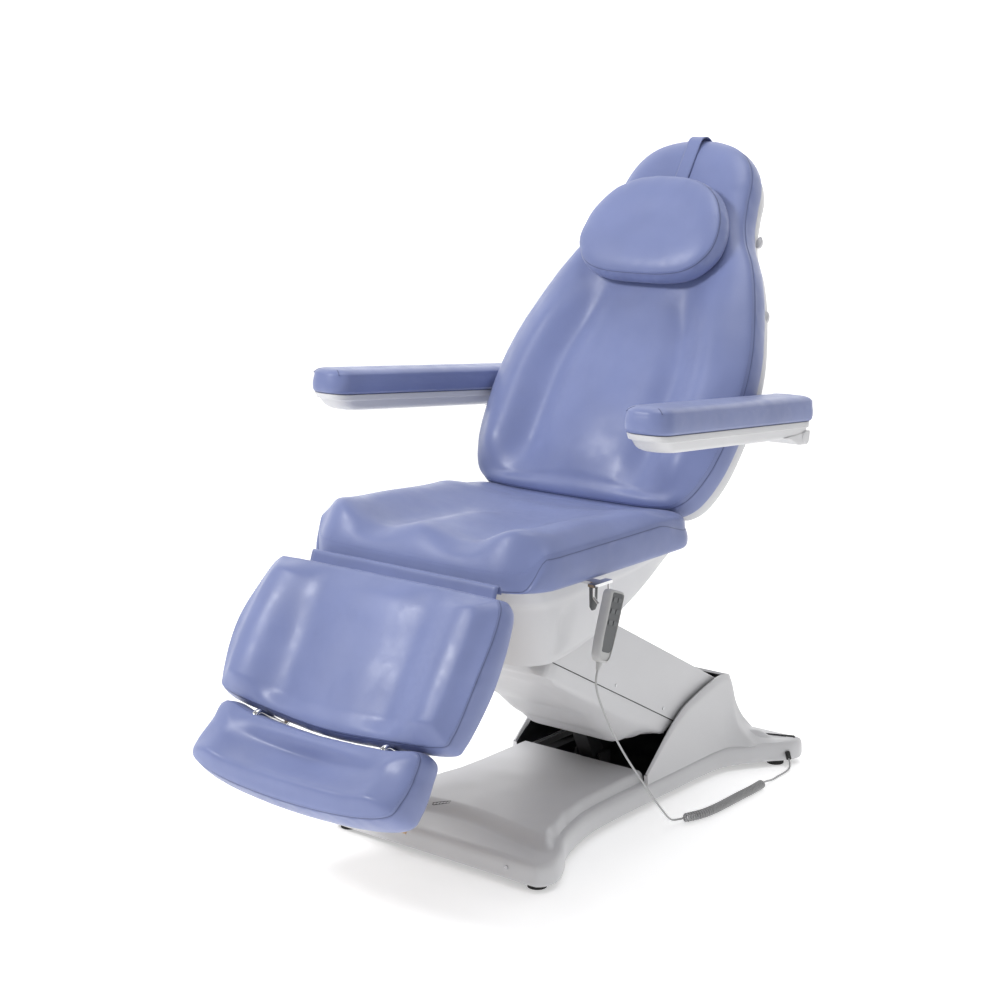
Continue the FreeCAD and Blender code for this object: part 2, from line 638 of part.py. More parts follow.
def head_pillow():
    """The removable pillow and the strap that carries it over the top of the back."""
    body = new_body("head_pillow")
    half = size("pillow_half")
    centre = size("pillow_v")
    tall = size("pillow_tall")
    low = [(-half + 24, centre - tall * 0.36), (0, centre - tall / 2), (half - 24, centre - tall * 0.36)]
    high = [low[2], (half, centre - tall * 0.1), (half * 0.62, centre + tall * 0.36),
            (0, centre + tall / 2), (-half * 0.62, centre + tall * 0.36), (-half, centre - tall * 0.1),
            low[0]]
    pad(body, "XY_Plane", [smooth(low), smooth(high)], "pillow_thick", "pillow_low")
    subpart("head_pillow", body, frame="back")
    centre_v = size("back_long") - size("crown_round")
    centre_n = size("back_crown") - size("crown_round")
    quarter = [math.radians(angle) for angle in range(0, 91, 15)]
    inner = size("crown_round") + 0.4
    outer = inner + 1.8
    over = [(centre_v + outer * math.sin(a), centre_n + outer * math.cos(a)) for a in quarter]
    under = [(centre_v + inner * math.sin(a), centre_n + inner * math.cos(a)) for a in quarter]
    behind = size("shell_back") - 2
    strap = [(832, over[0][1])] + over + [(over[-1][0], behind), (600, behind), (600, behind + 1.8)]
    strap += [(under[-1][0], behind + 1.8)] + under[::-1] + [(832, under[0][1])]
    subpart("pillow_strap", wide_plate(strap, 18), frame="back")


def armrest(side, label):
    """One armrest: steel bar, white shell with a deep rear lug, and a padded top."""
    pivot = FreeCAD.Placement(Vector(), FreeCAD.Rotation(X_AXIS, size("back_slope")))
    centre = pivot.multVec(Vector(0, size("arm_pivot_v"), size("arm_pivot_n")))
    centre += Vector(side * size("arm_place"), size("back_y"), size("back_z"))
    turn = FreeCAD.Rotation(Vector(0, 0, 1), side * size("toe_out"))
    turn = turn.multiply(FreeCAD.Rotation(X_AXIS, -size("arm_tilt")))
    home = FreeCAD.Placement(centre, turn)
    long = size("arm_long")
    half = size("arm_wide") / 2

    bar = box(-14, f"20-arm_long+60", 4, 28, "arm_long-90", 10)
    lug = cut(box(-14, -22, -18, 28, 46, 32), round_bar(-30, 0, 0, "arm_shaft+hinge_gap+1", 60))
    beam = subpart(label + "_arm_beam", fuse(bar, lug))

    shell = new_body(label + "_arm_shell")
    inside = half - 5
    plan = lines([(-inside, 22), (-inside, 70 - long), (-inside + 22, 42 - long),
                  (inside - 22, 42 - long), (inside, 70 - long), (inside, 22)])
    pad(shell, "XY_Plane", plan, "arm_shell_tall", "pad_low-arm_shell_tall")
    rear = [(28, 2), (28, -22), (-26, -22), (-60, 2)]
    pad(shell, "YZ_Plane", lines(rear), 2 * inside, both_ways=True)
    room = lines([(-20, 34), (-20, 80 - long), (20, 80 - long), (20, 34)])
    pocket(shell, "XY_Plane", room, "arm_shell_tall-4", "pad_low-arm_shell_tall")
    hollow = [(40, 1.6), (-50, 1.6), (-26, -19), (24, -19), (24, -30), (40, -30)]
    pocket(shell, "YZ_Plane", lines(hollow), 40, both_ways=True)
    bore = [Part.Circle(Vector(), Vector(0, 0, 1), size("arm_shaft") + 4.5)]
    pocket(shell, "YZ_Plane", bore, 120, both_ways=True)
    subpart(label + "_arm_shell", shell)

    cushion = new_body(label + "_arm_pad")
    round_end = 46
    plan = lines([(-half + round_end, 28 - long), (half - round_end, 28 - long)], closed=False)
    plan += lines([(half, 28 - long + round_end), (half, 30), (-half, 30),
                   (-half, 28 - long + round_end)], closed=False)
    near = round_end * (1 - math.sqrt(0.5))
    for sign in (-1, 1):
        plan.append(arc((sign * (half - round_end), 28 - long), (sign * (half - near), 28 - long + near),
                        (sign * half, 28 - long + round_end)))
    pad(cushion, "XY_Plane", plan, "pad_thick", "pad_low+0.3")
    subpart(label + "_arm_pad", cushion)
    for item in (beam, shell, cushion):
        item.Placement = home


# ================================================================== handset and its cord
HAND_ROUTE = [(341, -211.41, 447.77), (341, -217.22, 431.8), (340.5, -214, 411), (339, -202, 385),
              (337, -185, 358), (334, -166, 331), (331, -143, 300), (328, -118, 269),
              (324, -90, 237), (320, -60, 205), (316, -28, 172), (312, 4, 140), (307, 36, 107),
              (303, 68, 76), (299, 98, 48), (295, 122, 27), (292, 142, 15), (292.9, 159.2, 11.2),
              (299, 174, 11.2)]
CURL_ROUTE = [(299, 174, 11.2), (308, 196, 11.2), (318, 224, 11.2), (323, 268, 11.2),
              (323.5, 320, 11.2), (323, 372, 11.2), (325, 424, 11.2), (322, 470, 11.2)]
TAIL_ROUTE = [(322, 470, 11.2), (321.1, 484, 11.2), (319.6, 502, 7.4), (317.5, 522, 3.6),
              (315, 548, 3.2), (316, 576, 3.8), (317, 598, 7), (311, 613, 14), (302, 622, 23)]


def handset():
    """The wired hand control: case, keypad plate, six keys, boot, and its wire holder."""
    x = size("hand_x")
    lean = size("hand_lean")
    home = FreeCAD.Placement(Vector(x, size("hand_y"), size("hand_z")),
                             FreeCAD.Rotation(X_AXIS, -lean))
    half_wide = size("hand_wide") / 2
    half_thick = size("hand_thick") / 2
    long = size("hand_long")

    case = new_body("handset_case")
    outline = lines([(-half_wide, -8), (-half_wide, -long + 8), (-half_wide + 8, -long),
                     (half_wide - 8, -long), (half_wide, -long + 8), (half_wide, -8),
                     (half_wide - 8, 0), (-half_wide + 8, 0)])
    pad(case, "YZ_Plane", outline, "hand_thick", both_ways=True)
    recess = lines([(-half_wide + 5, -6), (-half_wide + 5, -82), (half_wide - 5, -82),
                    (half_wide - 5, -6)])
    pocket(case, "YZ_Plane", recess, 3, f"{half_thick}-3")
    subpart("handset_case", case)

    windows = []
    for number in range(1, KEYS + 1):
        corner = key_corner(number, half_thick)
        windows.append(box(half_thick - 5, corner.y - 0.4, corner.z - 0.4, 10,
                           "key_wide+0.8", "key_tall+0.8"))
        key = bind(document.addObject("Part::Box", "key"),
                   Length="key_rise+1", Width="key_wide", Height="key_tall")
        subpart(f"key_{number}", key)
        key.Placement = home.multiply(FreeCAD.Placement(corner, FreeCAD.Rotation()))
    panel = cut(box(half_thick - 3, -half_wide + 5.3, -81.7, 2.6, half_wide * 2 - 10.6, 75.4), *windows)
    keypad = subpart("handset_keypad", panel)
    cone = Part.makeCone(6, 3.4, 16, Vector(0, 0, -long), Vector(0, 0, -1))
    boot = subpart("handset_boot", shape_part("boot", cone))
    for item in (case, keypad, boot):
        item.Placement = home


def key_corner(number, half_thick):
    """The low corner of a key in the handset's own frame."""
    row, column = divmod(number - 1, 2)
    across = (2 * column - 1) * size("key_step_y") - size("key_wide") / 2
    return Vector(half_thick - 1.8, across, -24 - row * size("key_step_z"))


def handset_holder():
    """A clip plate under the seat's edge and a bent wire with two hooks for the handset."""
    clip = box(300, -190, 606, 18, 60, 6)
    arm = box(242.3, -172, 606, 57.7, 24, 6)
    hooks = []
    for y in (-186, -136):
        path = [(312, y, 606), (312, y, 585), (323, y, 575)]
        hooks.append(shape_part("hook", route_tube(path, 2.5, 8)))
    subpart("handset_holder", clip, arm, *hooks)


def hand_cord():
    """The handset's cord: a plain lead, a curled stretch on the floor, and a tail to its gland."""
    print("handset lead")
    subpart("hand_cord_lead", shape_part("lead", route_tube(HAND_ROUTE, size("cord_radius"))))
    print("curled stretch")
    subpart("hand_cord_curl", shape_part("curl", route_tube(CURL_ROUTE, size("curl_radius"))))
    print("tail")
    subpart("hand_cord_tail", shape_part("tail", route_tube(TAIL_ROUTE, size("cord_radius"))))
    gland = document.addObject("Part::Cylinder", "gland")
    bind(gland, Radius=6, Height=18)
    start = Vector(*TAIL_ROUTE[-1])
    along = start - Vector(*TAIL_ROUTE[-2])
    gland.Placement = FreeCAD.Placement(start, FreeCAD.Rotation(Vector(0, 0, 1), along))
    subpart("cord_gland", gland)


# ================================================================== build, test and write
base_frame()
base_cover()
base_fittings()
lift_arm()
arm_covers()
level_link()
actuators()
seat_frame()
seat_pan()
seat_cushions()
leg_rest()
foot_rest()
back_rest()
head_pillow()
armrest(1, "left")
armrest(-1, "right")
handset_holder()
handset()
hand_cord()

document.recompute()
for item in document.Objects:
    if "Invalid" in item.State or "Error" in item.State:
        raise RuntimeError(f"{item.Label} failed: {item.State}")
for item in subparts:
    if item.Shape.isNull() or not item.Shape.isValid() or not item.Shape.Solids:
        raise RuntimeError(f"{item.Label} has no valid solid")

os.makedirs("parts", exist_ok=True)
for item in subparts:
    item.Shape.exportStep(f"parts/{item.Label}.step")
print(len(subparts), "sub-parts written")
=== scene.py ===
"""Looks of the powered treatment chair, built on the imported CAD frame. Metres, +Z up.

Each slanted assembly has a flat frame of its own, with the hinge at the origin: x is across the
chair, y runs along the part and z is out of its face. The leg rest's y runs up towards the seat.
"""
import json
import math

import bmesh
import bpy
from mathutils import Matrix, Vector, noise


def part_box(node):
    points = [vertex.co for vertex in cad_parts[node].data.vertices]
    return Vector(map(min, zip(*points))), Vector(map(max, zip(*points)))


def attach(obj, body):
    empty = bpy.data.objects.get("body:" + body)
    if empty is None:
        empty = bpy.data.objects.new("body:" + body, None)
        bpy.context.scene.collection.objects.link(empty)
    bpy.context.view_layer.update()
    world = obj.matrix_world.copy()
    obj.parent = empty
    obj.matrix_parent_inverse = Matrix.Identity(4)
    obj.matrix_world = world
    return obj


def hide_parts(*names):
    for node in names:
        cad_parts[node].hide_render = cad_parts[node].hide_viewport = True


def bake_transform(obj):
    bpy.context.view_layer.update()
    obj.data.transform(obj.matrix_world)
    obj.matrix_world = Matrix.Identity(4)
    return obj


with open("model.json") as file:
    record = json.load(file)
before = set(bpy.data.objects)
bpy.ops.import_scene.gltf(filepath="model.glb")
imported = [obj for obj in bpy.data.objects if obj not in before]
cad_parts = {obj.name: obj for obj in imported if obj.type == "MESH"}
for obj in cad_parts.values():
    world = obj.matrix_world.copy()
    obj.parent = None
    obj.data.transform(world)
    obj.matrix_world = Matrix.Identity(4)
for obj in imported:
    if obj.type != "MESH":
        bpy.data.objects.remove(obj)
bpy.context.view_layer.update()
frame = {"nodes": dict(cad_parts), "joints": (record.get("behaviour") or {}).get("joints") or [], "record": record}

JOINTS = {joint["name"]: joint for joint in frame["joints"]}
TURN = 2 * math.pi
SIDE_LETTER = {1: "r", -1: "l"}


# ---------- frames
def hinge_frame(joint, slope):
    """The frame of an assembly that was drawn flat and turned about X at a joint."""
    place = Matrix.Translation(Vector(JOINTS[joint]["pos_m"]))
    return place @ Matrix.Rotation(math.radians(slope), 4, "X")


WORLD = Matrix.Identity(4)
LEG = hinge_frame("leg_tilt", 55)
BACK = hinge_frame("back_recline", 57)
LIFT = hinge_frame("arm_lift", -28.3)


def armrest_frame(side):
    """The frame of one armrest, at its pivot: side is 1 for the sitter's left."""
    name = "left_arm_fold" if side > 0 else "right_arm_fold"
    place = Matrix.Translation(Vector(JOINTS[name]["pos_m"]))
    return place @ Matrix.Rotation(math.radians(3 * side), 4, "Z") @ Matrix.Rotation(math.radians(-5), 4, "X")


# ---------- small maths
def circle(sides):
    """Cosine and sine of evenly spaced angles."""
    return [(math.cos(TURN * step / sides), math.sin(TURN * step / sides)) for step in range(sides)]


def arc(x, y, radius, start, steps=8):
    """Points on a quarter turn from a start angle in degrees, both ends included."""
    angles = [math.radians(start + 90 * step / steps) for step in range(steps + 1)]
    return [(x + radius * math.cos(angle), y + radius * math.sin(angle)) for angle in angles]


def mirrored(points):
    """The other half of a symmetric outline, in reverse order."""
    return [(-x, y) for x, y in reversed(points)]


def bell(value, centre, spread):
    """1 at the centre, falling smoothly to 0."""
    return math.exp(-((value - centre) / spread) ** 2)


def ramp(value, low, high):
    """0 below low, 1 above high, smooth between."""
    amount = min(1.0, max(0.0, (value - low) / (high - low)))
    return amount * amount * (3 - 2 * amount)


def dome(distance, radius):
    """A quarter-round profile: 0 at the edge, 1 beyond the radius."""
    amount = min(1.0, max(0.0, distance / radius))
    return math.sqrt(max(0.0, 1 - (1 - amount) ** 2))


def blend_values(pairs, value):
    """Smooth interpolation in a short list of (position, value) pairs."""
    for (low, a), (high, b) in zip(pairs, pairs[1:]):
        if value <= high:
            return a + (b - a) * ramp(value, low, high)
    return pairs[-1][1]


def spline(points, count, closed=False):
    """Evenly spaced points on a smooth curve through the given points."""
    total = len(points)
    dense = []
    spans = total if closed else total - 1
    for index in range(spans):
        four = [points[(index + shift) % total] if closed else
                points[min(total - 1, max(0, index + shift))] for shift in (-1, 0, 1, 2)]
        for step in range(24):
            dense.append(catmull(four, step / 24))
    dense.append(points[0] if closed else points[-1])
    return even(dense, count, closed)


def catmull(four, t):
    """A point on a Catmull-Rom span."""
    a, b, c, d = four
    return tuple(0.5 * (2 * q + (r - p) * t + (2 * p - 5 * q + 4 * r - s) * t * t
                        + (3 * q - p - 3 * r + s) * t ** 3) for p, q, r, s in zip(a, b, c, d))


def even(points, count, closed=False):
    """The same path with evenly spaced points."""
    lengths = [0.0]
    for a, b in zip(points, points[1:]):
        lengths.append(lengths[-1] + math.dist(a, b))
    result = []
    last = count if closed else count - 1
    index = 0
    for step in range(count):
        target = lengths[-1] * step / last
        while index < len(lengths) - 2 and lengths[index + 1] < target:
            index += 1
        span = lengths[index + 1] - lengths[index] or 1.0
        t = (target - lengths[index]) / span
        result.append(tuple(a + (b - a) * t for a, b in zip(points[index], points[index + 1])))
    return result


def rounded_box_outline(half, low, high, low_corner, high_corner, count, bow=0.0):
    """A closed outline, counter-clockwise: a rectangle with two corner sizes and bowed sides."""
    points = []
    corners = [(half - low_corner, low + low_corner, low_corner, -90),
               (half - high_corner, high - high_corner, high_corner, 0),
               (-half + high_corner, high - high_corner, high_corner, 90),
               (-half + low_corner, low + low_corner, low_corner, 180)]
    for corner in corners:
        points += arc(*corner)
    points.append(points[0])
    result = []
    middle = (low + high) / 2
    for x, y in even(points, count, closed=True):
        reach = min(1.0, abs(y - middle) / (high - low) * 2)
        result.append((x * (1 + bow * (1 - reach ** 2)), y))
    return result


def outward(outline):
    """Unit normals that point out of a closed, counter-clockwise outline."""
    total = len(outline)
    normals = []
    for index in range(total):
        ax, ay = outline[index - 1]
        bx, by = outline[(index + 1) % total]
        length = math.hypot(bx - ax, by - ay) or 1.0
        normals.append(((by - ay) / length, -(bx - ax) / length))
    return normals


def orient(outline):
    """The outline, counter-clockwise."""
    area = sum(a[0] * b[1] - b[0] * a[1] for a, b in zip(outline, outline[1:] + outline[:1]))
    return outline if area > 0 else list(reversed(outline))


def loop_through(points, count, inset=0.0):
    """A smooth closed outline through points, counter-clockwise, moved inward by an inset."""
    loop = orient(spline(points, count, closed=True)[:-1])
    return [(x - nx * inset, y - ny * inset) for (x, y), (nx, ny) in zip(loop, outward(loop))]


# ---------- mesh makers
def add_item(name, data):
    """A new object in the scene."""
    item = bpy.data.objects.new(name, data)
    bpy.context.scene.collection.objects.link(item)
    return item


def new_object(name, vertices, faces, place=WORLD, smooth=True):
    """A mesh object with its place in its vertices."""
    mesh = bpy.data.meshes.new(name)
    mesh.from_pydata([place @ Vector(point) for point in vertices], [], faces)
    mesh.update()
    work = bmesh.new()
    work.from_mesh(mesh)
    bmesh.ops.remove_doubles(work, verts=work.verts, dist=0.00005)
    bmesh.ops.recalc_face_normals(work, faces=work.faces)
    work.to_mesh(mesh)
    work.free()
    if smooth:
        mesh.shade_smooth()
    return add_item(name, mesh)


def lofted(name, rows, place=WORLD, closed=True, is_open=None):
    """A skin over rows of points, without the faces whose centre lies in an opening."""
    vertices = [point for row in rows for point in row]
    faces = []
    for face in grid_faces(len(rows), len(rows[0]), closed):
        centre = [sum(vertices[k][axis] for k in face) / 4 for axis in range(3)]
        if not (is_open and is_open(*centre)):
            faces.append(face)
    return new_object(name, vertices, faces, place)


def strip(curve, half, columns):
    """Rows of points across X, one for each point of a (y, z) curve."""
    shares = [2 * column / (columns - 1) - 1 for column in range(columns)]
    return [[(half * share, y, z) for share in shares] for y, z in curve]


def grid_faces(rows, columns, closed=True):
    """Quads between rows of points; closed joins the last column to the first."""
    faces = []
    last = columns if closed else columns - 1
    for row in range(rows - 1):
        for column in range(last):
            following = (column + 1) % columns
            faces.append((row * columns + column, row * columns + following,
                          (row + 1) * columns + following, (row + 1) * columns + column))
    return faces


def apply_modifiers(item):
    """Make the evaluated shape the object's own mesh."""
    graph = bpy.context.evaluated_depsgraph_get()
    mesh = bpy.data.meshes.new_from_object(item.evaluated_get(graph))
    item.modifiers.clear()
    item.data = mesh
    mesh.shade_smooth()


def round_edges(item, radius, segments, angle, smooth_angle):
    """Bevel the edges sharper than an angle."""
    bevel = item.modifiers.new("round", "BEVEL")
    bevel.width = radius
    bevel.segments = segments
    bevel.limit_method = "ANGLE"
    bevel.angle_limit = math.radians(angle)
    apply_modifiers(item)
    return smooth_by_angle(item, smooth_angle)


def rounded_copy(node, name, radius):
    """A copy of a CAD node with its edges rounded."""
    item = add_item(name, frame["nodes"][node].data.copy())
    item.data.materials.clear()
    work = bmesh.new()
    work.from_mesh(item.data)
    bmesh.ops.remove_doubles(work, verts=work.verts, dist=0.00002)
    bmesh.ops.dissolve_limit(work, angle_limit=math.radians(1.5), verts=work.verts, edges=work.edges)
    work.to_mesh(item.data)
    work.free()
    return round_edges(item, radius, 5, 28, 32)


def smooth_by_angle(item, angle):
    """Smooth shading with sharp edges kept."""
    item.data.shade_smooth()
    item.data.set_sharp_from_angle(angle=math.radians(angle))
    return item


def tube(name, path, radius, place, closed=False):
    """A round tube along a list of points, with closed ends."""
    sides = 6
    points = [place @ Vector(point) for point in path]
    total = len(points)
    side_vector = None
    vertices = []
    for index, point in enumerate(points):
        before = points[index - 1] if index or closed else point
        after = points[(index + 1) % total] if index < total - 1 or closed else point
        along = (after - before).normalized()
        if side_vector is None:
            side_vector = along.orthogonal().normalized()
        side_vector = (side_vector - along * side_vector.dot(along)).normalized()
        other = along.cross(side_vector)
        vertices += [point + (side_vector * c + other * s) * radius for c, s in circle(sides)]
    faces = grid_faces(total, sides)
    if closed:
        last = (total - 1) * sides
        faces += [(last + k, last + (k + 1) % sides, (k + 1) % sides, k) for k in range(sides)]
    else:
        faces.append(tuple(range(sides)))
        faces.append(tuple((total - 1) * sides + k for k in range(sides)))
    return new_object(name, vertices, faces)


def stitches(name, path, place, pitch=0.0055, length=0.0036, radius=0.00055):
    """A row of sewn stitches along a closed or open path."""
    total = sum(math.dist(a, b) for a, b in zip(path, path[1:]))
    spots = even(path, max(2, int(total / pitch)))
    vertices = []
    faces = []
    for a, b in zip(spots, spots[1:]):
        start = place @ Vector(a)
        along = (place @ Vector(b) - start).normalized()
        side = along.orthogonal().normalized()
        other = along.cross(side)
        base = len(vertices)
        for shift, swell in ((0, 0.35), (0.5, 1.0), (1, 0.35)):
            centre = start + along * length * shift
            vertices += [centre + (side * c + other * s) * radius * swell for c, s in circle(5)]
        ends = [tuple(range(5)), tuple(range(10, 15))]
        faces += [tuple(base + k for k in face) for face in grid_faces(3, 5) + ends]
    return new_object(name, vertices, faces)


def cushion(name, outline, spine, low, seam, crown, place, relief, edge=0.055, bulge=0.005,
            tuck=0.0016, pucker=0.0007, rings=44):
    """A crowned, boxed cushion: flat below, a bulging side wall, a sewn seam and a domed top.

    spine is (x half length, y low, y high): a line, across or along, onto which the rings close.
    seam and crown are heights, or functions of x and y. relief(x, y) is added to the top and
    fades out at the seam. The seam's ring and the ring of its stitches are returned too.
    """
    seam_at = seam if callable(seam) else lambda x, y: seam
    crown_at = crown if callable(crown) else lambda x, y: crown
    normals = outward(outline)
    spine_half, spine_low, spine_high = spine
    anchors = [(min(spine_half, max(-spine_half, x)), min(spine_high, max(spine_low, y)))
               for x, y in outline]
    rows = []

    def ring(share, level, offset=0.0):
        """The outline, shrunk towards the spine, at a height and moved out by an offset."""
        row = []
        for (x, y), (nx, ny), (ax, ay) in zip(outline, normals, anchors):
            height = level(x, y) if callable(level) else level
            row.append((ax + (x - ax) * share + nx * offset, ay + (y - ay) * share + ny * offset, height))
        return row

    for share in (0.0, 0.4, 0.8, 0.95):
        rows.append(ring(share, low))
    rows.append(ring(1, low + 0.0006, -0.005))
    rows.append(ring(1, low + 0.0022, -0.001))
    wall = 10
    for step in range(1, wall + 1):
        t = step / wall
        row = ring(1, lambda x, y: low + 0.003 + max(0.001, seam_at(x, y) - 0.0055 - low) * t,
                   bulge * math.sin(math.pi * (0.12 + 0.8 * t)))
        rows.append([(x + nx * wrinkle(index, t, pucker), y + ny * wrinkle(index, t, pucker), z)
                     for index, ((x, y, z), (nx, ny)) in enumerate(zip(row, normals))])
    rows.append(ring(1, lambda x, y: seam_at(x, y) - 0.0012, bulge * 0.22 - 0.0002))
    seam_ring = ring(1, seam_at, bulge * 0.12 - tuck)
    rows.append(seam_ring)
    stitch_ring = []
    for step in range(1, rings + 1):
        share = 1 - (step / rings) ** 1.35
        row = []
        for (x, y), (ax, ay) in zip(outline, anchors):
            px, py = ax + (x - ax) * share, ay + (y - ay) * share
            depth = math.hypot(x - px, y - py)
            base = seam_at(x, y) + (seam_at(px, py) - seam_at(x, y)) * ramp(depth, 0, edge)
            lift = (crown_at(px, py) - base) * dome(depth + 0.0015, edge)
            detail = relief(px, py) * ramp(depth, 0.0, 0.045)
            gather = pucker * 1.3 * math.exp(-depth / 0.018)
            gather *= noise.noise(Vector((x * 42, y * 42, base * 9)))
            row.append((px, py, base + lift + detail + gather))
        rows.append(row)
        if step == 2:
            stitch_ring = row
    item = lofted(name, rows, place)
    raised = [(x, y, z + 0.0002) for x, y, z in stitch_ring]
    return item, seam_ring + seam_ring[:1], raised + raised[:1]


def wrinkle(index, height, size):
    """A shallow ripple on a side wall, strongest near the seam."""
    return size * (0.3 + height) * noise.noise(Vector((index * 0.35, height * 1.7, 3.1)))


def sewn_cushion(name, body, node, place, outline, spine, heights, piping=0.0011, **shape):
    """A cushion that stands for a CAD node, with its seam cord and stitches, all on one body."""
    item, seam_ring, stitch_ring = cushion(name, outline, spine, *heights, place, **shape)
    finish_piece(item, body, "upholstery", [node])
    cord = tube(name + "_seam", seam_ring[:-1], piping, place, closed=True)
    finish_piece(cord, body, "skin", material=SEAM_AND_CREASE_SHADE)
    thread = stitches(name + "_stitches", stitch_ring, place)
    finish_piece(thread, body, "skin", material=THREAD)


def finish_piece(item, body, slot, nodes=(), material=None):
    """Material (picked by its slot), replaced nodes and body of one piece; a shell lined with painted shade keeps
    its own two.
    """
    if len(item.data.materials) < 2:
        item.data.materials.clear()
        item.data.materials.append(material or SLOT_MATERIALS[slot])
    if nodes:
        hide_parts(*nodes)
    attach(item, body)


def walled(item, thickness, angle, shade_lined=False):
    """Give a skin its wall thickness, inward; its inner faces may be black, as painted shade inside the shell."""
    if shade_lined:
        item.data.materials.append(WHITE)
        item.data.materials.append(BLACK)
    thicken(item, thickness, -1, 1 if shade_lined else 0)
    smooth_by_angle(item, angle)


def thicken(item, thickness, offset=0, material_offset=0):
    """Give a skin a thickness: both ways with offset 0, inward with -1."""
    solid = item.modifiers.new("wall", "SOLIDIFY")
    solid.thickness = thickness
    solid.offset = offset
    solid.material_offset = material_offset
    apply_modifiers(item)


# ---------- materials
def scaled(colour, factor):
    """A lighter or darker colour."""
    return tuple(min(1, value * factor) for value in colour)


def shader(name, colour, roughness, metallic=0.0, specular=0.5, sheen=0.0):
    """A new material with a Principled shader; returns its node tree and that shader."""
    material = bpy.data.materials.new(name)
    material.use_nodes = True
    tree = material.node_tree
    principled = tree.nodes["Principled BSDF"]
    levels = {"Base Color": (*colour, 1), "Roughness": roughness, "Metallic": metallic,
              "Specular IOR Level": specular, "Sheen Weight": sheen, "Sheen Roughness": 0.45}
    for socket, level in levels.items():
        principled.inputs[socket].default_value = level
    material.diffuse_color = (*colour, 1)
    return material, tree, principled


def texture(tree, scale, detail=2.0, kind="Noise"):
    """A noise or voronoi texture in object space."""
    node = tree.nodes.new("ShaderNodeTex" + kind)
    node.inputs["Scale"].default_value = scale
    if kind == "Noise":
        node.inputs["Detail"].default_value = detail
    coordinates = tree.nodes.new("ShaderNodeTexCoord")
    tree.links.new(coordinates.outputs["Object"], node.inputs["Vector"])
    return node


def vary(tree, principled, socket, source, low, high):
    """Drive a shader input between two colours or values by a texture."""
    ramp_node = tree.nodes.new("ShaderNodeValToRGB")
    for stop, position, level in zip(ramp_node.color_ramp.elements, (0.35, 0.65), (low, high)):
        stop.position = position
        stop.color = (*level, 1) if isinstance(level, tuple) else (level, level, level, 1)
    tree.links.new(source.outputs[0], ramp_node.inputs["Fac"])
    tree.links.new(ramp_node.outputs["Color"], principled.inputs[socket])


def bump(tree, principled, layers):
    """Stack bump layers: each is (texture, strength, distance)."""
    previous = None
    for source, strength, distance in layers:
        node = tree.nodes.new("ShaderNodeBump")
        node.inputs["Strength"].default_value = strength
        node.inputs["Distance"].default_value = distance
        tree.links.new(source.outputs[0], node.inputs["Height"])
        if previous:
            tree.links.new(previous.outputs["Normal"], node.inputs["Normal"])
        previous = node
    tree.links.new(previous.outputs["Normal"], principled.inputs["Normal"])


def vinyl(name, colour, roughness=0.38):
    """Coated upholstery fabric: pebbled grain, faint colour drift, soft sheen."""
    material, tree, principled = shader(name, colour, roughness, specular=0.42, sheen=0.12)
    drift = texture(tree, 5.0, 4.0)
    vary(tree, principled, "Base Color", drift, scaled(colour, 0.93), scaled(colour, 1.05))
    wear = texture(tree, 26.0, 5.0)
    vary(tree, principled, "Roughness", wear, roughness - 0.05, roughness + 0.08)
    pebble = texture(tree, 620.0, kind="Voronoi")
    crease = texture(tree, 160.0, 6.0)
    slack = texture(tree, 9.0, 2.0)
    bump(tree, principled, [(slack, 0.25, 0.004), (crease, 0.10, 0.0006), (pebble, 0.16, 0.0005)])
    return material


def moulded(name, colour, roughness, grain=900.0, strength=0.06):
    """Moulded plastic: slight sink and flow marks, fine texture, uneven gloss."""
    material, tree, principled = shader(name, colour, roughness)
    drift = texture(tree, 3.0, 3.0)
    vary(tree, principled, "Base Color", drift, scaled(colour, 0.965), colour)
    gloss = texture(tree, 14.0, 4.0)
    vary(tree, principled, "Roughness", gloss, roughness - 0.05, roughness + 0.07)
    fine = texture(tree, grain, 2.0)
    flow = texture(tree, 6.0, 2.0)
    bump(tree, principled, [(flow, 0.15, 0.002), (fine, strength, 0.0003)])
    return material


def metal(name, colour, roughness):
    """Metal with fine brushing and uneven polish."""
    material, tree, principled = shader(name, colour, roughness, metallic=1.0)
    marks = texture(tree, 180.0, 6.0)
    vary(tree, principled, "Roughness", marks, max(0.02, roughness - 0.06), roughness + 0.08)
    tone = texture(tree, 12.0, 3.0)
    vary(tree, principled, "Base Color", tone, scaled(colour, 0.9), colour)
    bump(tree, principled, [(marks, 0.05, 0.0002)])
    return material


def wood(name):
    """Raw plywood with a stretched grain."""
    material, tree, principled = shader(name, (0.42, 0.29, 0.17), 0.7)
    grain = texture(tree, 40.0, 8.0)
    vary(tree, principled, "Base Color", grain, (0.30, 0.19, 0.10), (0.50, 0.36, 0.22))
    bump(tree, principled, [(grain, 0.3, 0.0005)])
    return material


BLUE = (0.190, 0.228, 0.430)
VINYL = vinyl("coated_fabric", BLUE)
# The darker seam colour is the cord's own on the seams, and painted crease shade on the armrests' pleats.
SEAM_AND_CREASE_SHADE = vinyl("seam_cord_and_crease_shade", scaled(BLUE, 0.62), 0.6)
THREAD = vinyl("thread", scaled(BLUE, 1.12), 0.7)
WHITE = moulded("white_cover_plastic", (0.66, 0.66, 0.675), 0.38)
GREY = moulded("handset_plastic", (0.50, 0.50, 0.50), 0.42)
DARK_GREY = moulded("keypad_plastic", (0.105, 0.11, 0.115), 0.5, 1500.0, 0.12)
KEY = moulded("key_rubber", (0.15, 0.155, 0.16), 0.62, 1500.0, 0.15)
BLACK = moulded("black_plastic_and_painted_shade", (0.022, 0.022, 0.024), 0.5)
RUBBER = moulded("black_rubber", (0.018, 0.018, 0.018), 0.72, 500.0, 0.2)
JACKET = moulded("cord_jacket", (0.40, 0.40, 0.405), 0.45, 700.0, 0.1)
CHROME = metal("chrome_plate", (0.78, 0.78, 0.79), 0.1)
STEEL = metal("zinc_steel", (0.60, 0.60, 0.62), 0.3)
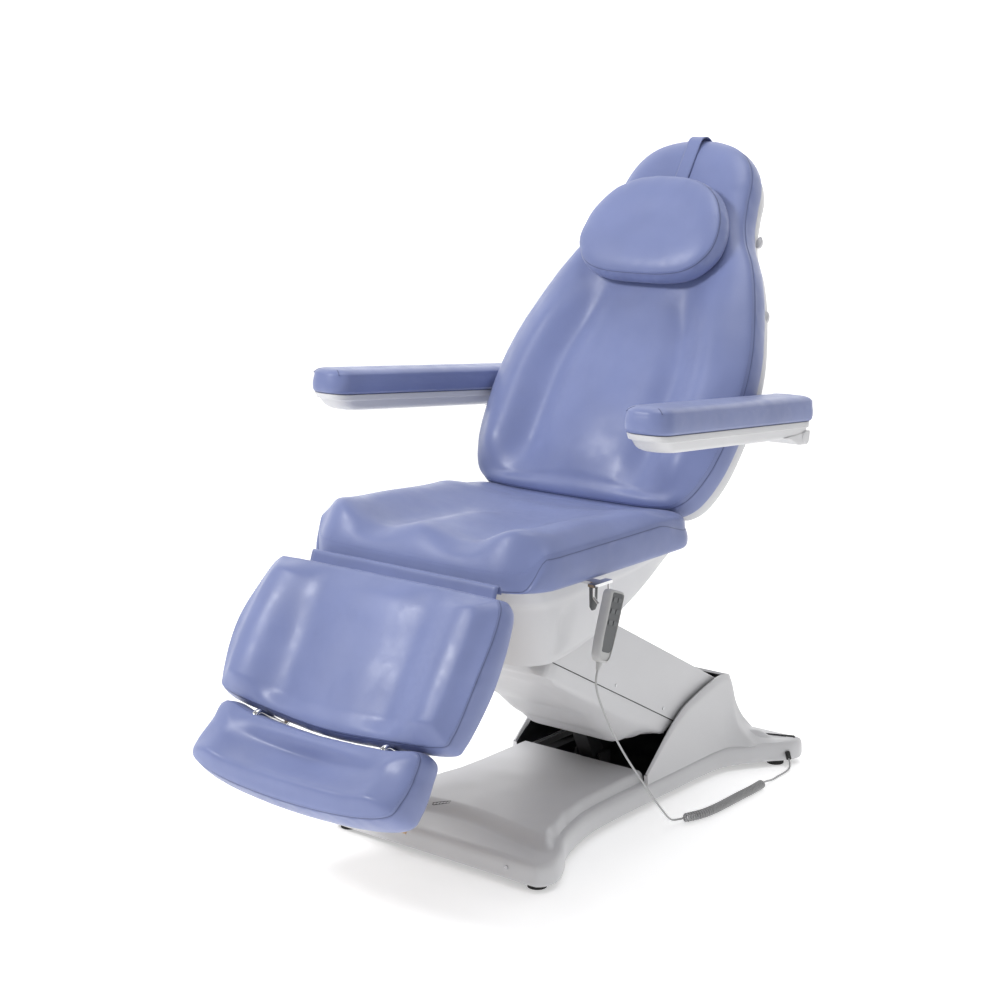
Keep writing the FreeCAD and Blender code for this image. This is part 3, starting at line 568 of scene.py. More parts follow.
PAINT = moulded("black_paint", (0.035, 0.035, 0.037), 0.48, 700.0, 0.2)
PLY = wood("plywood")

SLOT_MATERIALS = {
    "steel_frame": PAINT, "white_cover": WHITE, "upholstery": VINYL, "skin": VINYL,
    "bright_steel": STEEL, "chrome": CHROME, "black_rubber": RUBBER, "cord_jacket": JACKET,
    "plywood": PLY, "dark_plastic": BLACK, "handset_grey": GREY, "keypad_grey": DARK_GREY,
    "key_rubber": KEY,
}


def dress_cad_nodes():
    """Every carried-over CAD node takes its slot's material."""
    for entry in frame["record"]["subparts"]:
        node = frame["nodes"][entry["node"]]
        node.data.materials.clear()
        node.data.materials.append(SLOT_MATERIALS[entry["material_slot"]])


# ---------- seat
def seat_relief(x, y):
    """Raised thigh bolsters, two troughs with a low middle ridge, and a dish behind."""
    front = 1 - ramp(y, -0.20, 0.06)
    side = 0.018 * bell(abs(x), 0.238, 0.062) * (0.45 + 0.55 * front)
    trough = -0.020 * bell(abs(x), 0.118, 0.062) * front
    ridge = 0.008 * bell(x, 0, 0.045) * front
    dish = -0.022 * bell(x, 0, 0.19) * bell(y, -0.01, 0.13)
    roll = 0.010 * bell(y, -0.325, 0.05) * bell(abs(x), 0.2, 0.13)
    drop = -0.020 * ramp(y, 0.03, 0.14)
    return side + trough + ridge + dish + roll + drop


def build_seat():
    """The seat's cushion."""
    low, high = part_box("seat_cushion")
    outline = rounded_box_outline(high.x - 0.004, low.y + 0.003, 0.192, 0.098, 0.052, 280, 0.006)
    sewn_cushion("seat_pad", "seat", "seat_cushion", WORLD, outline, (0.10, -0.11, -0.11),
                 (low.z + 0.001, seat_seam, high.z - 0.001), relief=seat_relief, edge=0.066)


def seat_seam(x, y):
    """The side seam drops at the front corners, so the top panel wraps down over the front."""
    return 0.684 - 0.060 * ramp(-y, 0.318, 0.362) - 0.026 * ramp(y, 0.05, 0.17)


def build_pan():
    """The white skirt under the seat: a thin shell with a rolled flange and a soft groove."""
    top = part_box("seat_pan")[1].z - 0.001
    levels = 26
    rear = 0.236
    corner = 0.07
    rows = []
    for level in range(levels + 1):
        t = level / levels
        lip = 0.006 * ramp(t, 0.70, 0.76)
        half = 0.2 + 0.036 * t ** 0.8 + lip
        front = -0.222 - 0.085 * t ** 0.9 - lip
        path = [(-half, rear), (-half, 0.0)] + arc(-half + corner, front + corner, corner, 180)
        path += arc(half - corner, front + corner, corner, 270) + [(half, 0.0), (half, rear)]
        bottom_tuck = 0.006 * (1 - ramp(t, 0, 0.08))
        groove_depth = 0.010 * ramp(t, 0.05, 0.35) * (1 - ramp(t, 0.5, 0.72))
        row = []
        for x, y in even(path, 200):
            under = 0.421 + 0.79 * max(0.0, y + 0.24) ** 2.2
            groove = groove_depth * bell(y, -0.155, 0.022) if abs(x) > half - 0.03 else 0
            inward = math.copysign(groove + bottom_tuck, x)
            row.append((x - inward, y, under + (top - under) * t))
        rows.append(row)
    item = lofted("seat_pan_shell", rows, closed=False,
                  is_open=lambda x, y, z: y < -0.2 and abs(x) < 0.15 and z > 0.525)
    walled(item, 0.0035, 40)
    finish_piece(item, "seat", "white_cover", ["seat_pan"])


def build_flap():
    """The folded strip that bridges the gap between the seat and the leg rest."""
    half = 0.244
    profile = [(-0.3925, 0.6225), (-0.3935, 0.632), (-0.3955, 0.6385), (-0.3985, 0.6405), (-0.4015, 0.6385),
               (-0.4045, 0.632), (-0.408, 0.622), (-0.412, 0.612)]
    curve = spline(profile, 15)
    rows = []
    for points in strip(curve, half, 41):
        ripples = [0.001 * noise.noise(Vector((x * 14, y * 30, z * 20))) for x, y, z in points]
        rows.append([(x, y + ripple, z + ripple) for (x, y, z), ripple in zip(points, ripples)])
    item = lofted("gap_flap_sheet", rows, closed=False)
    thicken(item, 0.0012)
    item.data.materials.append(VINYL)
    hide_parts("gap_flap")
    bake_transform(item)


# ---------- leg rest and foot rest
def leg_relief(x, y):
    """Two long side bolsters with a flatter middle that deepens towards the foot."""
    down = ramp(-y, 0.03, 0.2)
    side = 0.019 * bell(abs(x), 0.238, 0.058)
    channel = -0.017 * bell(abs(x), 0.140, 0.060) * (0.45 + 0.55 * down)
    middle = -0.008 * bell(x, 0, 0.10) * down
    knee = 0.006 * bell(y, -0.075, 0.05) * bell(x, 0, 0.2)
    return side + channel + middle + knee


def foot_relief(x, y):
    """A dished middle with a raised rim in front and at both sides."""
    rim = 0.011 * bell(-y, 0.458, 0.020) * (0.6 + 0.4 * bell(x, 0, 0.2))
    dish = -0.030 * bell(x, 0, 0.165) * bell(-y, 0.400, 0.034)
    side = 0.008 * bell(abs(x), 0.205, 0.032)
    return rim + dish + side


def leg_seam(x, y):
    """The leg cushion's side seam bows up in the middle of its length."""
    return 0.067 + 0.017 * bell(y, -0.175, 0.10)


def leg_crown(x, y):
    """The leg cushion's top, a little fuller in the middle of its length."""
    return 0.084 + 0.010 * bell(y, -0.175, 0.12)


def foot_seam(x, y):
    """The foot cushion's side seam climbs towards its far edge."""
    return 0.084 + 0.020 * ramp(-y, 0.36, 0.48)


def foot_crown(x, y):
    """The foot cushion is thicker towards its far edge."""
    return 0.102 + 0.022 * ramp(-y, 0.36, 0.45)


def build_leg_rest():
    """Leg and foot cushions."""
    side = [(0.288, -0.020), (0.303, -0.060), (0.313, -0.130), (0.314, -0.200), (0.302, -0.285),
            (0.280, -0.310)]
    end = [(0.168, -0.324), (0.0, -0.335), (-0.168, -0.324)]
    loop = mirrored(side) + [(-0.25, -0.0125), (0.0, -0.011), (0.25, -0.0125)] + side + end
    outline = orient(spline(loop, 260, closed=True)[1:])
    sewn_cushion("leg_pad", "leg", "leg_cushion", LEG, outline, (0.16, -0.172, -0.172),
                 (0.022, leg_seam, leg_crown), relief=leg_relief, bulge=0.006)

    near = [(-0.250, -0.334), (-0.168, -0.3455), (0, -0.3535), (0.168, -0.3455), (0.250, -0.334)]
    far = [(0.264, -0.378), (0.266, -0.430), (0.250, -0.464), (0.16, -0.484)]
    outline = loop_through(near + far + [(0, -0.492)] + mirrored(far), 240)
    sewn_cushion("foot_pad", "foot", "foot_cushion", LEG, outline, (0.19, -0.418, -0.418),
                 (0.0235, foot_seam, foot_crown), relief=foot_relief, edge=0.040, bulge=0.007)


# ---------- back
BACK_SIDE = [(0.225, 0.064), (0.262, 0.075), (0.292, 0.105), (0.316, 0.165), (0.328, 0.240),
             (0.332, 0.345), (0.320, 0.440), (0.296, 0.525), (0.269, 0.600), (0.240, 0.662),
             (0.208, 0.712), (0.188, 0.760), (0.176, 0.815), (0.168, 0.865), (0.148, 0.910),
             (0.112, 0.944), (0.060, 0.963)]


def back_loop(inset, count):
    """Outline of the back, moved inward by an inset."""
    points = BACK_SIDE + [(0, 0.9685)] + mirrored(BACK_SIDE) + [(-0.12, 0.0615), (0.12, 0.0615)]
    return loop_through(points, count, inset)


def back_relief(x, y):
    """Side bolsters and channels low on the back, a lumbar swell, and a flat head."""
    low = ramp(y, 0.07, 0.18) * (1 - ramp(y, 0.46, 0.66))
    width = 0.212 - 0.055 * ramp(y, 0.33, 0.65)
    bolster = 0.017 * bell(abs(x), width + 0.035, 0.044) * low
    channel = -0.020 * bell(abs(x), width - 0.052, 0.042) * low
    lumbar = 0.012 * bell(x, 0, 0.085) * bell(y, 0.24, 0.12)
    hollow = -0.008 * bell(x, 0, 0.12) * bell(y, 0.50, 0.12)
    foot = -0.012 * (1 - ramp(y, 0.07, 0.17))
    return bolster + channel + lumbar + hollow + foot


def build_back():
    """The back cushion and the white shell behind it."""
    sewn_cushion("back_pad", "back", "back_cushion", BACK, back_loop(0.002, 340), (0.0, 0.25, 0.80),
                 (0.0105, 0.0625, 0.0955), relief=back_relief, edge=0.06, bulge=0.004, rings=56)

    count = 261
    level = -0.0335
    profile = [(0.012, 0.0085), (0.0105, 0.002), (0.0095, -0.008), (0.0100, -0.018), (0.0135, -0.0265),
               (0.020, -0.0305), (0.030, -0.0322), (0.060, level)]
    rows = [[(x, y, z) for x, y in back_loop(inset, count)] for inset, z in profile]
    outline = back_loop(0.060, count)
    for share in (0.8, 0.6, 0.4, 0.2, 0.0):
        z = level + 0.0035 * bell(share, 0.55, 0.25)
        row = []
        for x, y in outline:
            spine_y = min(0.80, max(0.22, y))
            row.append((x * share, spine_y + (y - spine_y) * share, z))
        rows.append(row)
    shell = lofted("back_shell_skin", rows, BACK)
    walled(shell, 0.003, 45)
    finish_piece(shell, "back", "white_cover", ["back_shell"])
    for side in (-1, 1):
        for y, x in ((0.57, 0.268), (0.755, 0.186)):
            stud = bumper(f"shell_bumper_{SIDE_LETTER[side]}_{int(y * 100)}", side * x, y)
            finish_piece(stud, "back", "white_cover")


def bumper(name, x, y):
    """A small rounded lug on the shell's edge."""
    vertices = []
    rows = 7
    for row in range(rows):
        t = row / (rows - 1) * math.pi / 2
        vertices += [(x + 0.007 * math.cos(t) * c, y + 0.015 * math.cos(t) * s, -0.010 - 0.016 * math.sin(t))
                     for c, s in circle(16)]
    faces = grid_faces(rows, 16)
    faces.append(tuple(range(16)))
    return new_object(name, vertices, faces, BACK)


# ---------- pillow
def pillow_outline():
    """A broad, flat-bottomed egg."""
    centre = 0.703
    points = [(0.0, centre - 0.1235), (0.085, centre - 0.120), (0.139, centre - 0.103),
              (0.173, centre - 0.065), (0.181, centre - 0.022), (0.171, centre + 0.028),
              (0.143, centre + 0.075), (0.102, centre + 0.106), (0.055, centre + 0.121)]
    return loop_through(points + [(0.0, centre + 0.1245)] + mirrored(points[1:]), 221)


def pillow_relief(x, y):
    """A shallow hollow for the head."""
    return -0.006 * bell(x, 0, 0.09) * bell(y, 0.70, 0.07)


def build_pillow():
    """The head pillow, which lies on the back, and its strap over the top."""
    low = 0.0985
    sewn_cushion("pillow", "back", "head_pillow", BACK, pillow_outline(), (0.07, 0.697, 0.697),
                 (low, 0.142, low + 0.064), piping=0.0016, relief=pillow_relief, edge=0.075, bulge=0.007,
                 pucker=0.0014)
    centre_y, centre_z = 0.944, 0.069
    end_y = centre_y + 0.0294
    behind_z = -0.0362
    path = [(0.815, 0.1035), (0.830, 0.1008), (0.85, 0.0990), (0.90, 0.0985), (0.93, 0.0984)]
    for step in range(1, 13):
        angle = math.radians(step * 7.5)
        path.append((centre_y + 0.0292 * math.sin(angle), centre_z + 0.0292 * math.cos(angle)))
    path += [(end_y, 0.05), (end_y, 0.0), (end_y, -0.027), (centre_y + 0.021, -0.0352),
             (0.94, behind_z), (0.80, behind_z), (0.62, behind_z)]
    curve = spline(path, 150)
    half = 0.0175
    strap = lofted("pillow_strap_band", strip(curve, half, 9), BACK, closed=False)
    thicken(strap, 0.0018)
    finish_piece(strap, "back", "skin", ["pillow_strap"])
    sewn_part = curve[:96]
    for side in (-1, 1):
        row = [(side * (half - 0.003), y + 0.001 * ny, z + 0.001 * nz)
               for (y, z), (ny, nz) in zip(sewn_part, path_normals(sewn_part))]
        thread = stitches(f"strap_stitches_{SIDE_LETTER[side]}", row, BACK)
        finish_piece(thread, "back", "skin", material=THREAD)


def path_normals(curve):
    """Unit normals of an open (y, z) path, on its outer side."""
    normals = []
    for index in range(len(curve)):
        ay, az = curve[max(0, index - 1)]
        by, bz = curve[min(len(curve) - 1, index + 1)]
        length = math.hypot(by - ay, bz - az) or 1.0
        normals.append((-(bz - az) / length, (by - ay) / length))
    return normals


# ---------- armrests
def pad_relief(x, y):
    """A slightly fuller middle."""
    return 0.002 * bell(x, 0, 0.03)


def build_armrest(side):
    """Pad and shell of one armrest."""
    label = "left" if side > 0 else "right"
    body = f"{label}_arm"
    place = armrest_frame(side)
    front = 0.028 - 0.640
    rear_corner = 0.022
    outline = rounded_box_outline(0.0505, front + 0.001, 0.029, 0.040, rear_corner, 220)
    item, _, _ = cushion(f"{label}_arm_cushion", outline, (0.0, front + 0.06, -0.03), 0.0288, 0.0655, 0.0815,
                         place, pad_relief, edge=0.024, bulge=0.0025, tuck=0.0002, pucker=0.0005)
    finish_piece(item, body, "upholstery", [f"{label}_arm_pad"])
    # The pleats are thin cords in the darker seam colour: painted shade in the creases of the folds.
    for corner in (-1, 1):
        pleat = []
        for step in range(9):
            t = step / 8
            pleat.append((corner * (0.024 + 0.016 * t), front + 0.020 - 0.008 * t, 0.0800 - 0.010 * t ** 2))
        fold = tube(f"{label}_arm_pleat_{SIDE_LETTER[corner]}", pleat, 0.0011, place)
        finish_piece(fold, body, "skin", material=SEAM_AND_CREASE_SHADE)
    profile = [(0.0025, 0.0280), (0.0020, 0.0265), (0.0022, 0.0165), (0.0058, 0.0148), (0.0066, 0.0128),
               (0.0074, 0.0020), (0.0100, -0.0035), (0.0150, -0.0068), (0.0200, -0.0078)]
    rows = []
    for inset, level in profile:
        sink = 0.030 * ((0.028 - level) / 0.036) ** 1.4
        plan = rounded_box_outline(0.050 - inset, front + 0.004 + inset + sink, 0.026 - inset * 0.4, 0.034,
                                   rear_corner, 200)
        rows.append([(x, y, level) for x, y in plan])
    rows.append([(0.0, max(front + 0.08, min(-0.02, y)), level) for _, y, level in rows[-1]])
    shell = lofted(f"{label}_arm_tray", rows, place)
    walled(shell, 0.0025, 40)
    finish_piece(shell, body, "white_cover", [f"{label}_arm_shell"])
    lug_outline = [(-0.094, -0.0035), (-0.070, -0.0065), (-0.052, -0.0120), (-0.034, -0.0195),
                   (-0.020, -0.0215), (0.014, -0.0215), (0.0215, -0.017), (0.024, -0.008), (0.0245, 0.0085)]
    lug = bevelled_slab(f"{label}_arm_lug", lug_outline, -0.0445, 0.0445, 0.0045, place)
    finish_piece(lug, body, "white_cover")
    finish_piece(pivot_cap(f"{label}_arm_pivot_cap", side, place), body, "white_cover")


def bevelled_slab(name, outline, x_low, x_high, radius, place):
    """A plate across X from a (y, z) outline, with rounded edges."""
    total = len(outline)
    vertices = [(x, y, z) for x in (x_low, x_high) for y, z in outline]
    faces = grid_faces(2, total)
    faces.append(tuple(range(total)))
    faces.append(tuple(range(total, 2 * total)))
    item = new_object(name, vertices, faces, place)
    return round_edges(item, radius, 4, 25, 35)


def pivot_cap(name, side, place):
    """A round cap with a soft edge on the outer side of an armrest's pivot."""
    radius = 0.0125
    thick = 0.0022
    profile = [(0.0, thick), (radius * 0.82, thick), (radius * 0.95, thick * 0.75), (radius, thick * 0.3),
               (radius, -0.001)]
    rows = [[(side * (0.0445 + rise), reach * c, reach * s - 0.0045) for c, s in circle(24)]
            for reach, rise in profile]
    return lofted(name, rows, place)


# ---------- base
def base_side(y):
    """Half width of the base's skirt at a place along it."""
    return blend_values([(-0.327, 0.296), (-0.262, 0.293), (-0.172, 0.2395), (-0.092, 0.2125),
                         (-0.014, 0.1955), (0.060, 0.193), (0.420, 0.193), (0.504, 0.202), (0.575, 0.252),
                         (0.640, 0.298), (0.693, 0.303)], y)


def base_loop(inset):
    """Plan of the base, counter-clockwise, moved inward by an inset."""
    right = [(0.262, -0.327), (0.284, -0.320), (0.2955, -0.298), (0.294, -0.268), (0.270, -0.218),
             (0.2395, -0.170), (0.2125, -0.092), (0.1975, -0.014), (0.193, 0.080), (0.193, 0.200),
             (0.193, 0.330), (0.1945, 0.430), (0.204, 0.505), (0.252, 0.585), (0.292, 0.635), (0.303, 0.660),
             (0.300, 0.682), (0.280, 0.6925)]
    rear = [(0.14, 0.693), (-0.14, 0.693)]
    front = [(-0.14, -0.327), (0.0, -0.327), (0.14, -0.327)]
    return loop_through(right + rear + mirrored(right) + front, 421, inset)


def build_base():
    """The moulded base cover: skirt, shoulder and deck, open where the tower stands."""
    profile = [(0.004, 0.0125), (0.0008, 0.0145), (0.0, 0.020), (0.0008, 0.040), (0.0022, 0.0495),
               (0.0062, 0.0555), (0.012, 0.0582), (0.020, 0.0592)]
    rows = [[(x, y, z) for x, y in base_loop(inset)] for inset, z in profile]
    outline = base_loop(0.020)
    steps = 40
    for step in range(1, steps + 1):
        share = 1 - step / steps
        row = []
        for x, y in outline:
            spine_y = max(-0.18, min(0.55, y))
            px, py = x * share, spine_y + (y - spine_y) * share
            row.append((px, py, deck_height(px, py)))
        rows.append(row)
    cover = lofted("base_cover_skin", rows,
                   is_open=lambda x, y, z: abs(x) < 0.176 and 0.205 < y < 0.60 and z > 0.0585)
    # The cover's inner faces are black: painted shade inside the base.
    walled(cover, 0.0035, 50, shade_lined=True)
    finish_piece(cover, "base", "white_cover", ["base_cover"])


def build_shade_sheet():
    """The dark sheet that closes the base under the steel rails: painted shade inside the base."""
    vertices = [(x, y, z) for z in (0.0185, 0.0200) for x, y in ((-0.175, -0.27), (0.175, -0.27),
                                                                 (0.175, 0.63), (-0.175, 0.63))]
    faces = grid_faces(2, 4) + [(0, 1, 2, 3), (4, 5, 6, 7)]
    item = new_object("base_shade_sheet", vertices, faces, smooth=False)
    finish_piece(item, "base", "dark_plastic")


def deck_height(x, y):
    """Height of the base's upper surface: a low shoulder that rises to a broad deck."""
    edge = base_side(y) - abs(x)
    front = y + 0.327
    rear = 0.693 - y
    reach_side = blend_values([(-0.33, 0.075), (-0.15, 0.028), (0.0, 0.014), (0.45, 0.014), (0.6, 0.06),
                               (0.69, 0.085)], y)
    bow = 0.035 * bell(x, 0, 0.16)
    rise = ramp(edge, reach_side * 0.55, reach_side * 0.55 + 0.026)
    rise *= ramp(front, 0.060 + bow, 0.100 + bow)
    rise *= ramp(rear, 0.045, 0.085)
    return 0.0592 + 0.0215 * rise


def build_tower():
    """Two cheeks that flare into the base, joined by a rear wall."""
    top = [(0.196, 0.080), (0.222, 0.104), (0.262, 0.139), (0.307, 0.1725), (0.355, 0.1985),
           (0.42, 0.2185), (0.483, 0.2325), (0.515, 0.2345), (0.536, 0.2285), (0.548, 0.2060),
           (0.563, 0.1640), (0.592, 0.121), (0.637, 0.0780)]
    crest = spline(top, 90)
    levels = 18
    foot_z = 0.057
    for side in (-1, 1):
        rows = []
        for level in range(levels + 1):
            t = level / levels
            flare = (1 - t) ** 2.4
            round_over = 0.006 * max(0.0, (t - 0.9) / 0.1) ** 2
            row = []
            for y, z in crest:
                spread = (0.002 + 0.9 * max(0.0, base_side(y) - 0.198)) * flare
                row.append((side * (0.1895 + spread - round_over), y, foot_z + (z - foot_z) * t))
            rows.append(row)
        outer = lofted(f"tower_cheek_{SIDE_LETTER[side]}", rows, closed=False)
        # The cheek's inner faces are black: painted shade inside the tower.
        walled(outer, 0.010, 40, shade_lined=True)
        finish_piece(outer, "base", "white_cover")
    rear = [point for point in crest if point[0] > 0.530]
    wall = lofted("tower_rear", strip(rear, 0.1845, 41), closed=False)
    # The rear wall's inner face is black: painted shade inside the tower.
    walled(wall, 0.006, 40, shade_lined=True)
    finish_piece(wall, "base", "white_cover")


# ---------- lifting arm
def build_lift_arm():
    """The arm's two covers, and the dark line between them."""
    top = rounded_copy("arm_cover_top", "arm_upper_cover", 0.0115)
    finish_piece(top, "lift_arm", "white_cover", ["arm_cover_top"])
    build_tub()
    for side in (-1, 1):
        path = [(side * 0.1694, y, -0.0752) for y in (-0.652, -0.400, -0.120)]
        line = tube(f"arm_seam_{SIDE_LETTER[side]}", path, 0.0011, LIFT)
        finish_piece(line, "lift_arm", "black_rubber", material=BLACK)


def build_tub():
    """The arm's lower cover: a hull with a band under the seam and a rounded belly."""
    low, high = -0.706, -0.1215
    stations = 90
    places = [low + (high - low) * step / (stations - 1) for step in range(stations)]
    rows = [[(x, y, z) for x, z in tub_section(y)] for y in places]
    item = lofted("arm_lower_cover", rows, LIFT, closed=False,
                  is_open=lambda x, y, z: abs(x) < 0.075 and y > -0.262)
    # The hull's inner faces are black: painted shade inside the arm's lower cover.
    walled(item, 0.003, 50, shade_lined=True)
    finish_piece(item, "lift_arm", "white_cover", ["arm_cover_tub"])


def tub_section(y):
    """Half-round hull section at one place along the arm, from one rim to the other."""
    rim = blend_values([(-0.706, -0.092), (-0.672, -0.080), (-0.650, -0.0755), (-0.12, -0.0755)], y)
    width = blend_values([(-0.706, 0.74), (-0.680, 0.80), (-0.652, 0.98), (-0.63, 1.0), (-0.12, 1.0)], y)
    band = blend_values([(-0.706, -0.100), (-0.660, -0.110), (-0.60, -0.116), (-0.160, -0.114),
                         (-0.1215, -0.0785)], y)
    belly = blend_values([(-0.706, -0.104), (-0.60, -0.119), (-0.425, -0.139), (-0.32, -0.158),
                          (-0.262, -0.167), (-0.222, -0.150), (-0.185, -0.130), (-0.1215, -0.082)], y)
    belly = min(belly, band - 0.002)
    drop = belly - band
    half = [(0.169, rim), (0.169, rim + (band - rim) * 0.5), (0.1688, band + 0.008), (0.1665, band + 0.001),
            (0.158, band + drop * 0.22), (0.146, band + drop * 0.48), (0.132, band + drop * 0.76),
            (0.118, band + drop * 0.93), (0.100, belly), (0.05, belly)]
    curve = spline([(x * width, z) for x, z in half] + [(0.0, belly)], 30)
    return curve + mirrored(curve[:-1])


# ---------- handset
HAND = Vector((0.341, -0.156, 0.600))


def build_handset():
    """The handset's case, tapered to the cord, with its keypad, boot and the holder's tab."""
    place = Matrix.Translation(HAND) @ Matrix.Rotation(math.radians(-20), 4, "X")
    outline = []
    for y, z in rounded_box_outline(0.0247, -0.1455, -0.0005, 0.017, 0.010, 120):
        taper = 1 - 0.16 * ramp(-z, 0.085, 0.145)
        outline.append((y * taper, z))
    normals = outward(outline)
    profile = [(0.0075, -0.0118), (0.0040, -0.0112), (0.0014, -0.0090), (0.0002, -0.0045), (0.0, 0.0),
               (0.0003, 0.0062), (0.0012, 0.0098), (0.0032, 0.0117), (0.0048, 0.0119), (0.0050, 0.0094)]
    middle = -0.073
    rows = []
    for inset, level in profile:
        rows.append([(level, y - ny * inset, z - nz * inset) for (y, z), (ny, nz) in zip(outline, normals)])
    for share in (0.7, 0.35, 0.0):
        back = share * 0.85
        rows.insert(0, [(-0.0118, y * back, middle + (z - middle) * back) for y, z in outline])
        rows.append([(0.0092, y * share * 0.8, middle + (z - middle) * share * 0.9) for y, z in outline])
    case = lofted("handset_body", rows, place)
    smooth_by_angle(case, 45)
    finish_piece(case, "handset", "handset_grey", ["handset_case"])
    plate = []
    for inset, level in ((0.0, 0.0092), (0.0, 0.0106), (0.0008, 0.0112)):
        rim = rounded_box_outline(0.0192 - inset, -0.1245 + inset, -0.0060 - inset, 0.012, 0.006, 80)
        plate += [(level, y, z) for y, z in rim]
    faces = grid_faces(3, 80)
    faces.append(tuple(range(160, 240)))
    panel = new_object("handset_panel", plate, faces, place, smooth=False)
    finish_piece(panel, "handset", "keypad_grey", ["handset_keypad"])
    build_boot(place)
    tab_outline = [(-0.176, 0.607), (-0.150, 0.607), (-0.152, 0.560), (-0.158, 0.552), (-0.168, 0.552),
                   (-0.174, 0.560)]
    tab = bevelled_slab("holder_tab", tab_outline, 0.292, 0.297, 0.002, WORLD)
    finish_piece(tab, "seat", "dark_plastic", material=DARK_GREY)


def build_boot(place):
    """The ribbed sleeve where the cord leaves the handset."""
    steps = 60
    sides = 20
    ribs = 6
    boot = []
    for step in range(steps + 1):
        t = step / steps
        radius = 0.0068 - 0.0034 * t + 0.0006 * math.sin(t * TURN * ribs)
        boot += [(radius * c, radius * s, -0.145 - 0.0168 * t) for c, s in circle(sides)]
    faces = grid_faces(steps + 1, sides)
    faces.append(tuple(range(sides)))
    faces.append(tuple(steps * sides + k for k in range(sides)))
    sleeve = new_object("handset_cord_boot", boot, faces, place)
    finish_piece(sleeve, "handset", "black_rubber", ["handset_boot"], GREY)


# ---------- cord
LEAD = [(0.341, -0.2114, 0.4478), (0.341, -0.2172, 0.4318), (0.3405, -0.214, 0.411),
        (0.339, -0.202, 0.385), (0.337, -0.185, 0.358), (0.334, -0.166, 0.331), (0.331, -0.143, 0.300),
        (0.328, -0.118, 0.269), (0.324, -0.090, 0.237), (0.320, -0.060, 0.205), (0.316, -0.028, 0.172),
        (0.312, 0.004, 0.140), (0.307, 0.036, 0.107), (0.303, 0.068, 0.076), (0.299, 0.098, 0.048),
        (0.295, 0.122, 0.027), (0.292, 0.142, 0.015), (0.2929, 0.1592, 0.0112), (0.299, 0.174, 0.0112)]
CURL = [(0.299, 0.174, 0.0112), (0.308, 0.196, 0.0112), (0.318, 0.224, 0.0112), (0.323, 0.268, 0.0112),
        (0.3235, 0.320, 0.0112), (0.323, 0.372, 0.0112), (0.325, 0.424, 0.0112), (0.322, 0.470, 0.0112)]
TAIL = [(0.322, 0.470, 0.0112), (0.3211, 0.484, 0.0112), (0.3196, 0.502, 0.0074), (0.3175, 0.522, 0.0036),
        (0.315, 0.548, 0.0032), (0.316, 0.576, 0.0038), (0.317, 0.598, 0.007), (0.311, 0.613, 0.014),
        (0.302, 0.622, 0.023)]
CORD_RADIUS = 0.0022
CURL_RADIUS = 0.0107
CURL_TURNS = 47


def smooth_line(name, points):
    """A smooth curve object whose control points are the given points."""
    curve = bpy.data.curves.new(name, "CURVE")
    curve.dimensions = "3D"
    curve.resolution_u = 12
    line = curve.splines.new("NURBS")
    line.points.add(len(points) - 1)
    for place, point in zip(line.points, points):
        place.co = (*point, 1)
    line.order_u = 3
    line.use_endpoint_u = True
    return add_item(name, curve)


def line_points(item):
    """Points along a curve object that has no bevel, read from its evaluated mesh."""
    bpy.context.view_layer.update()
    graph = bpy.context.evaluated_depsgraph_get()
    mesh = bpy.data.meshes.new_from_object(item.evaluated_get(graph))
    return [tuple(vertex.co) for vertex in mesh.vertices]


def curled(points, radius, turns, turn_steps=12):
    """Helix points round a line, opened out at both ends and kept above the floor."""
    total = turns * turn_steps
    axis = [Vector(point) for point in even(points, total + 1)]
    side = None
    result = []
    for index, centre in enumerate(axis):
        before = axis[max(0, index - 1)]
        after = axis[min(total, index + 1)]
        along = (after - before).normalized()
        if side is None:
            side = Vector((0, 0, -1))
        side = (side - along * side.dot(along)).normalized()
        other = along.cross(side)
        angle = TURN * index / turn_steps
        grow = radius * ramp(min(index, total - index), 0, 14)
        spot = centre + (side * math.cos(angle) + other * math.sin(angle)) * grow
        result.append((spot.x, spot.y, max(spot.z, CORD_RADIUS + 0.0002)))
    return result


def build_cord():
    """The handset's cord: one line through the plain lead, the curled stretch and the tail."""
    axis = smooth_line("cord_axis", CURL)
    axis_points = line_points(axis)
    bpy.data.objects.remove(axis)
    route = LEAD[:-1] + curled(axis_points, CURL_RADIUS - CORD_RADIUS, CURL_TURNS) + TAIL[1:]
    line = smooth_line("cord_line", route)
    line.data.resolution_u = 4
    path = line_points(line)
    line.data.bevel_depth = CORD_RADIUS
    line.data.bevel_resolution = 3
    line.data.use_fill_caps = True
    graph = bpy.context.evaluated_depsgraph_get()
    mesh = bpy.data.meshes.new_from_object(line.evaluated_get(graph))
    bpy.data.objects.remove(line)
    item = add_item("handset_cord", mesh)
    mesh.shade_smooth()
    mesh.materials.clear()
    mesh.materials.append(JACKET)
    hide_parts("hand_cord_lead", "hand_cord_curl", "hand_cord_tail")
    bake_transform(item)


# ---------- stage, camera and lights
def glowing(name, glow):
    """A pale studio surface that also gives off a little light of its own."""
    material, tree, principled = shader(name, (0.88, 0.88, 0.88), 0.9, specular=0.1)
    speck = texture(tree, 8.0, 2.0)
    vary(tree, principled, "Base Color", speck, (0.875, 0.875, 0.875), (0.885, 0.885, 0.885))
    principled.inputs["Emission Color"].default_value = (1, 1, 1, 1)
    principled.inputs["Emission Strength"].default_value = glow
    return material


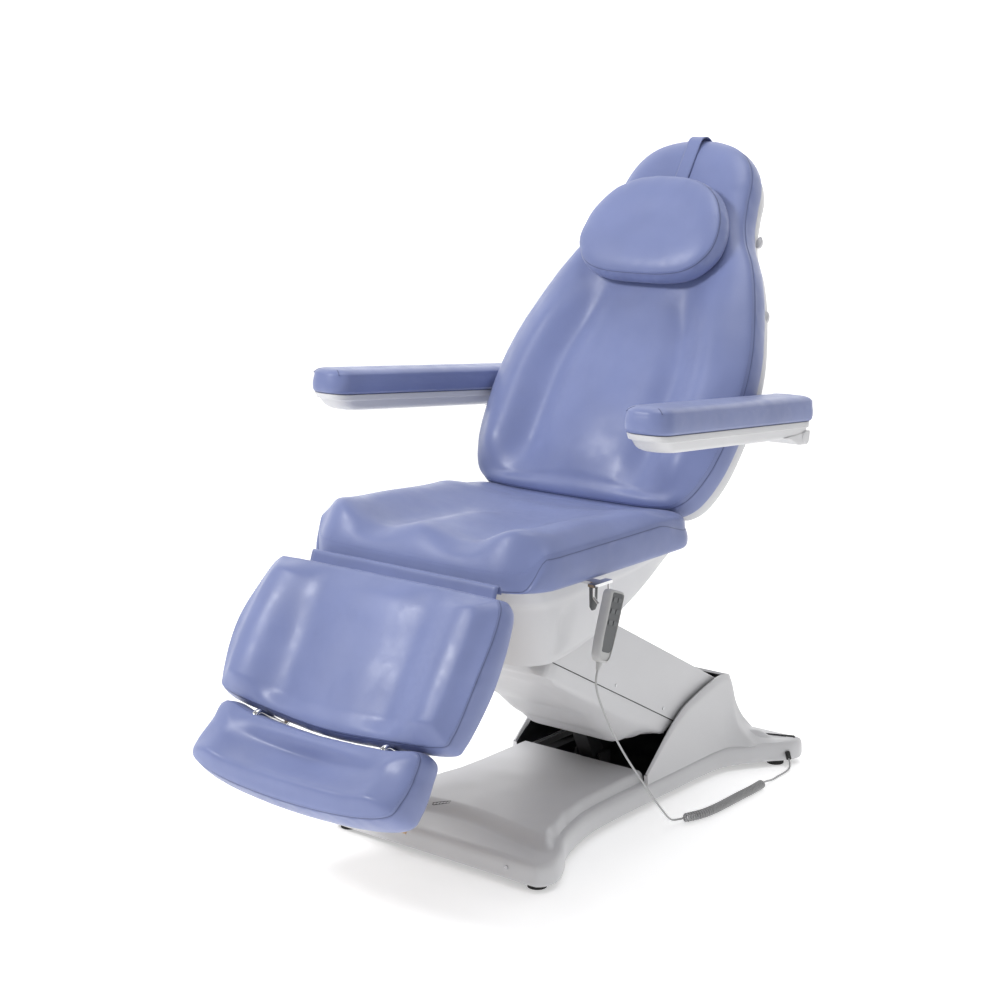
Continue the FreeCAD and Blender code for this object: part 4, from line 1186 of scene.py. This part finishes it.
def build_stage():
    """A pale floor and a pale wall far behind, both out of the chair's reach."""
    bpy.ops.mesh.primitive_plane_add(size=40, location=(0, 4, -0.0005))
    floor = bpy.context.object
    floor.name = "floor"
    floor.data.materials.append(glowing("pale_floor", 0.45))
    bpy.ops.mesh.primitive_plane_add(size=60, location=(-10, 14, 5), rotation=(math.radians(90), 0, 0.67))
    wall = bpy.context.object
    wall.name = "backdrop"
    wall.data.materials.append(glowing("pale_wall", 0.9))


def add_light(name, location, target, power, size):
    """A soft area light aimed at a point."""
    light = bpy.data.lights.new(name, "AREA")
    light.shape = "DISK"
    light.size = size
    light.energy = power
    item = add_item(name, light)
    item.location = location
    item.rotation_euler = (Vector(target) - Vector(location)).to_track_quat("-Z", "Y").to_euler()


def build_studio():
    """Soft light from the upper left and front, a weak fill, and the camera."""
    world = bpy.data.worlds.new("studio")
    bpy.context.scene.world = world
    world.use_nodes = True
    background = world.node_tree.nodes["Background"]
    background.inputs["Color"].default_value = (1, 1, 1, 1)
    background.inputs["Strength"].default_value = 0.36
    add_light("key", (-1.6, -3.4, 3.6), (0, -0.1, 0.6), 120, 1.1)
    add_light("top", (0.6, 0.4, 4.2), (0, 0, 0.6), 40, 2.0)
    add_light("fill", (4.2, -0.6, 1.8), (0, 0, 0.6), 8, 2.0)
    camera_data = bpy.data.cameras.new("view")
    camera_data.lens = 68.4
    camera_data.sensor_width = 36
    camera = add_item("view", camera_data)
    camera.location = (2.425, -3.127, 1.549)
    azimuth, elevation = math.radians(38.616), math.radians(11.979)
    forward = Vector((-math.sin(azimuth) * math.cos(elevation), math.cos(azimuth) * math.cos(elevation),
                      -math.sin(elevation)))
    camera.rotation_euler = forward.to_track_quat("-Z", "Y").to_euler()
    bpy.context.scene.camera = camera
    bpy.context.scene.view_settings.view_transform = "Standard"


build_studio()
build_stage()
dress_cad_nodes()
build_seat()
build_pan()
build_flap()
build_leg_rest()
build_back()
build_pillow()
build_armrest(1)
build_armrest(-1)
build_base()
build_tower()
build_shade_sheet()
build_lift_arm()
build_handset()
build_cord()
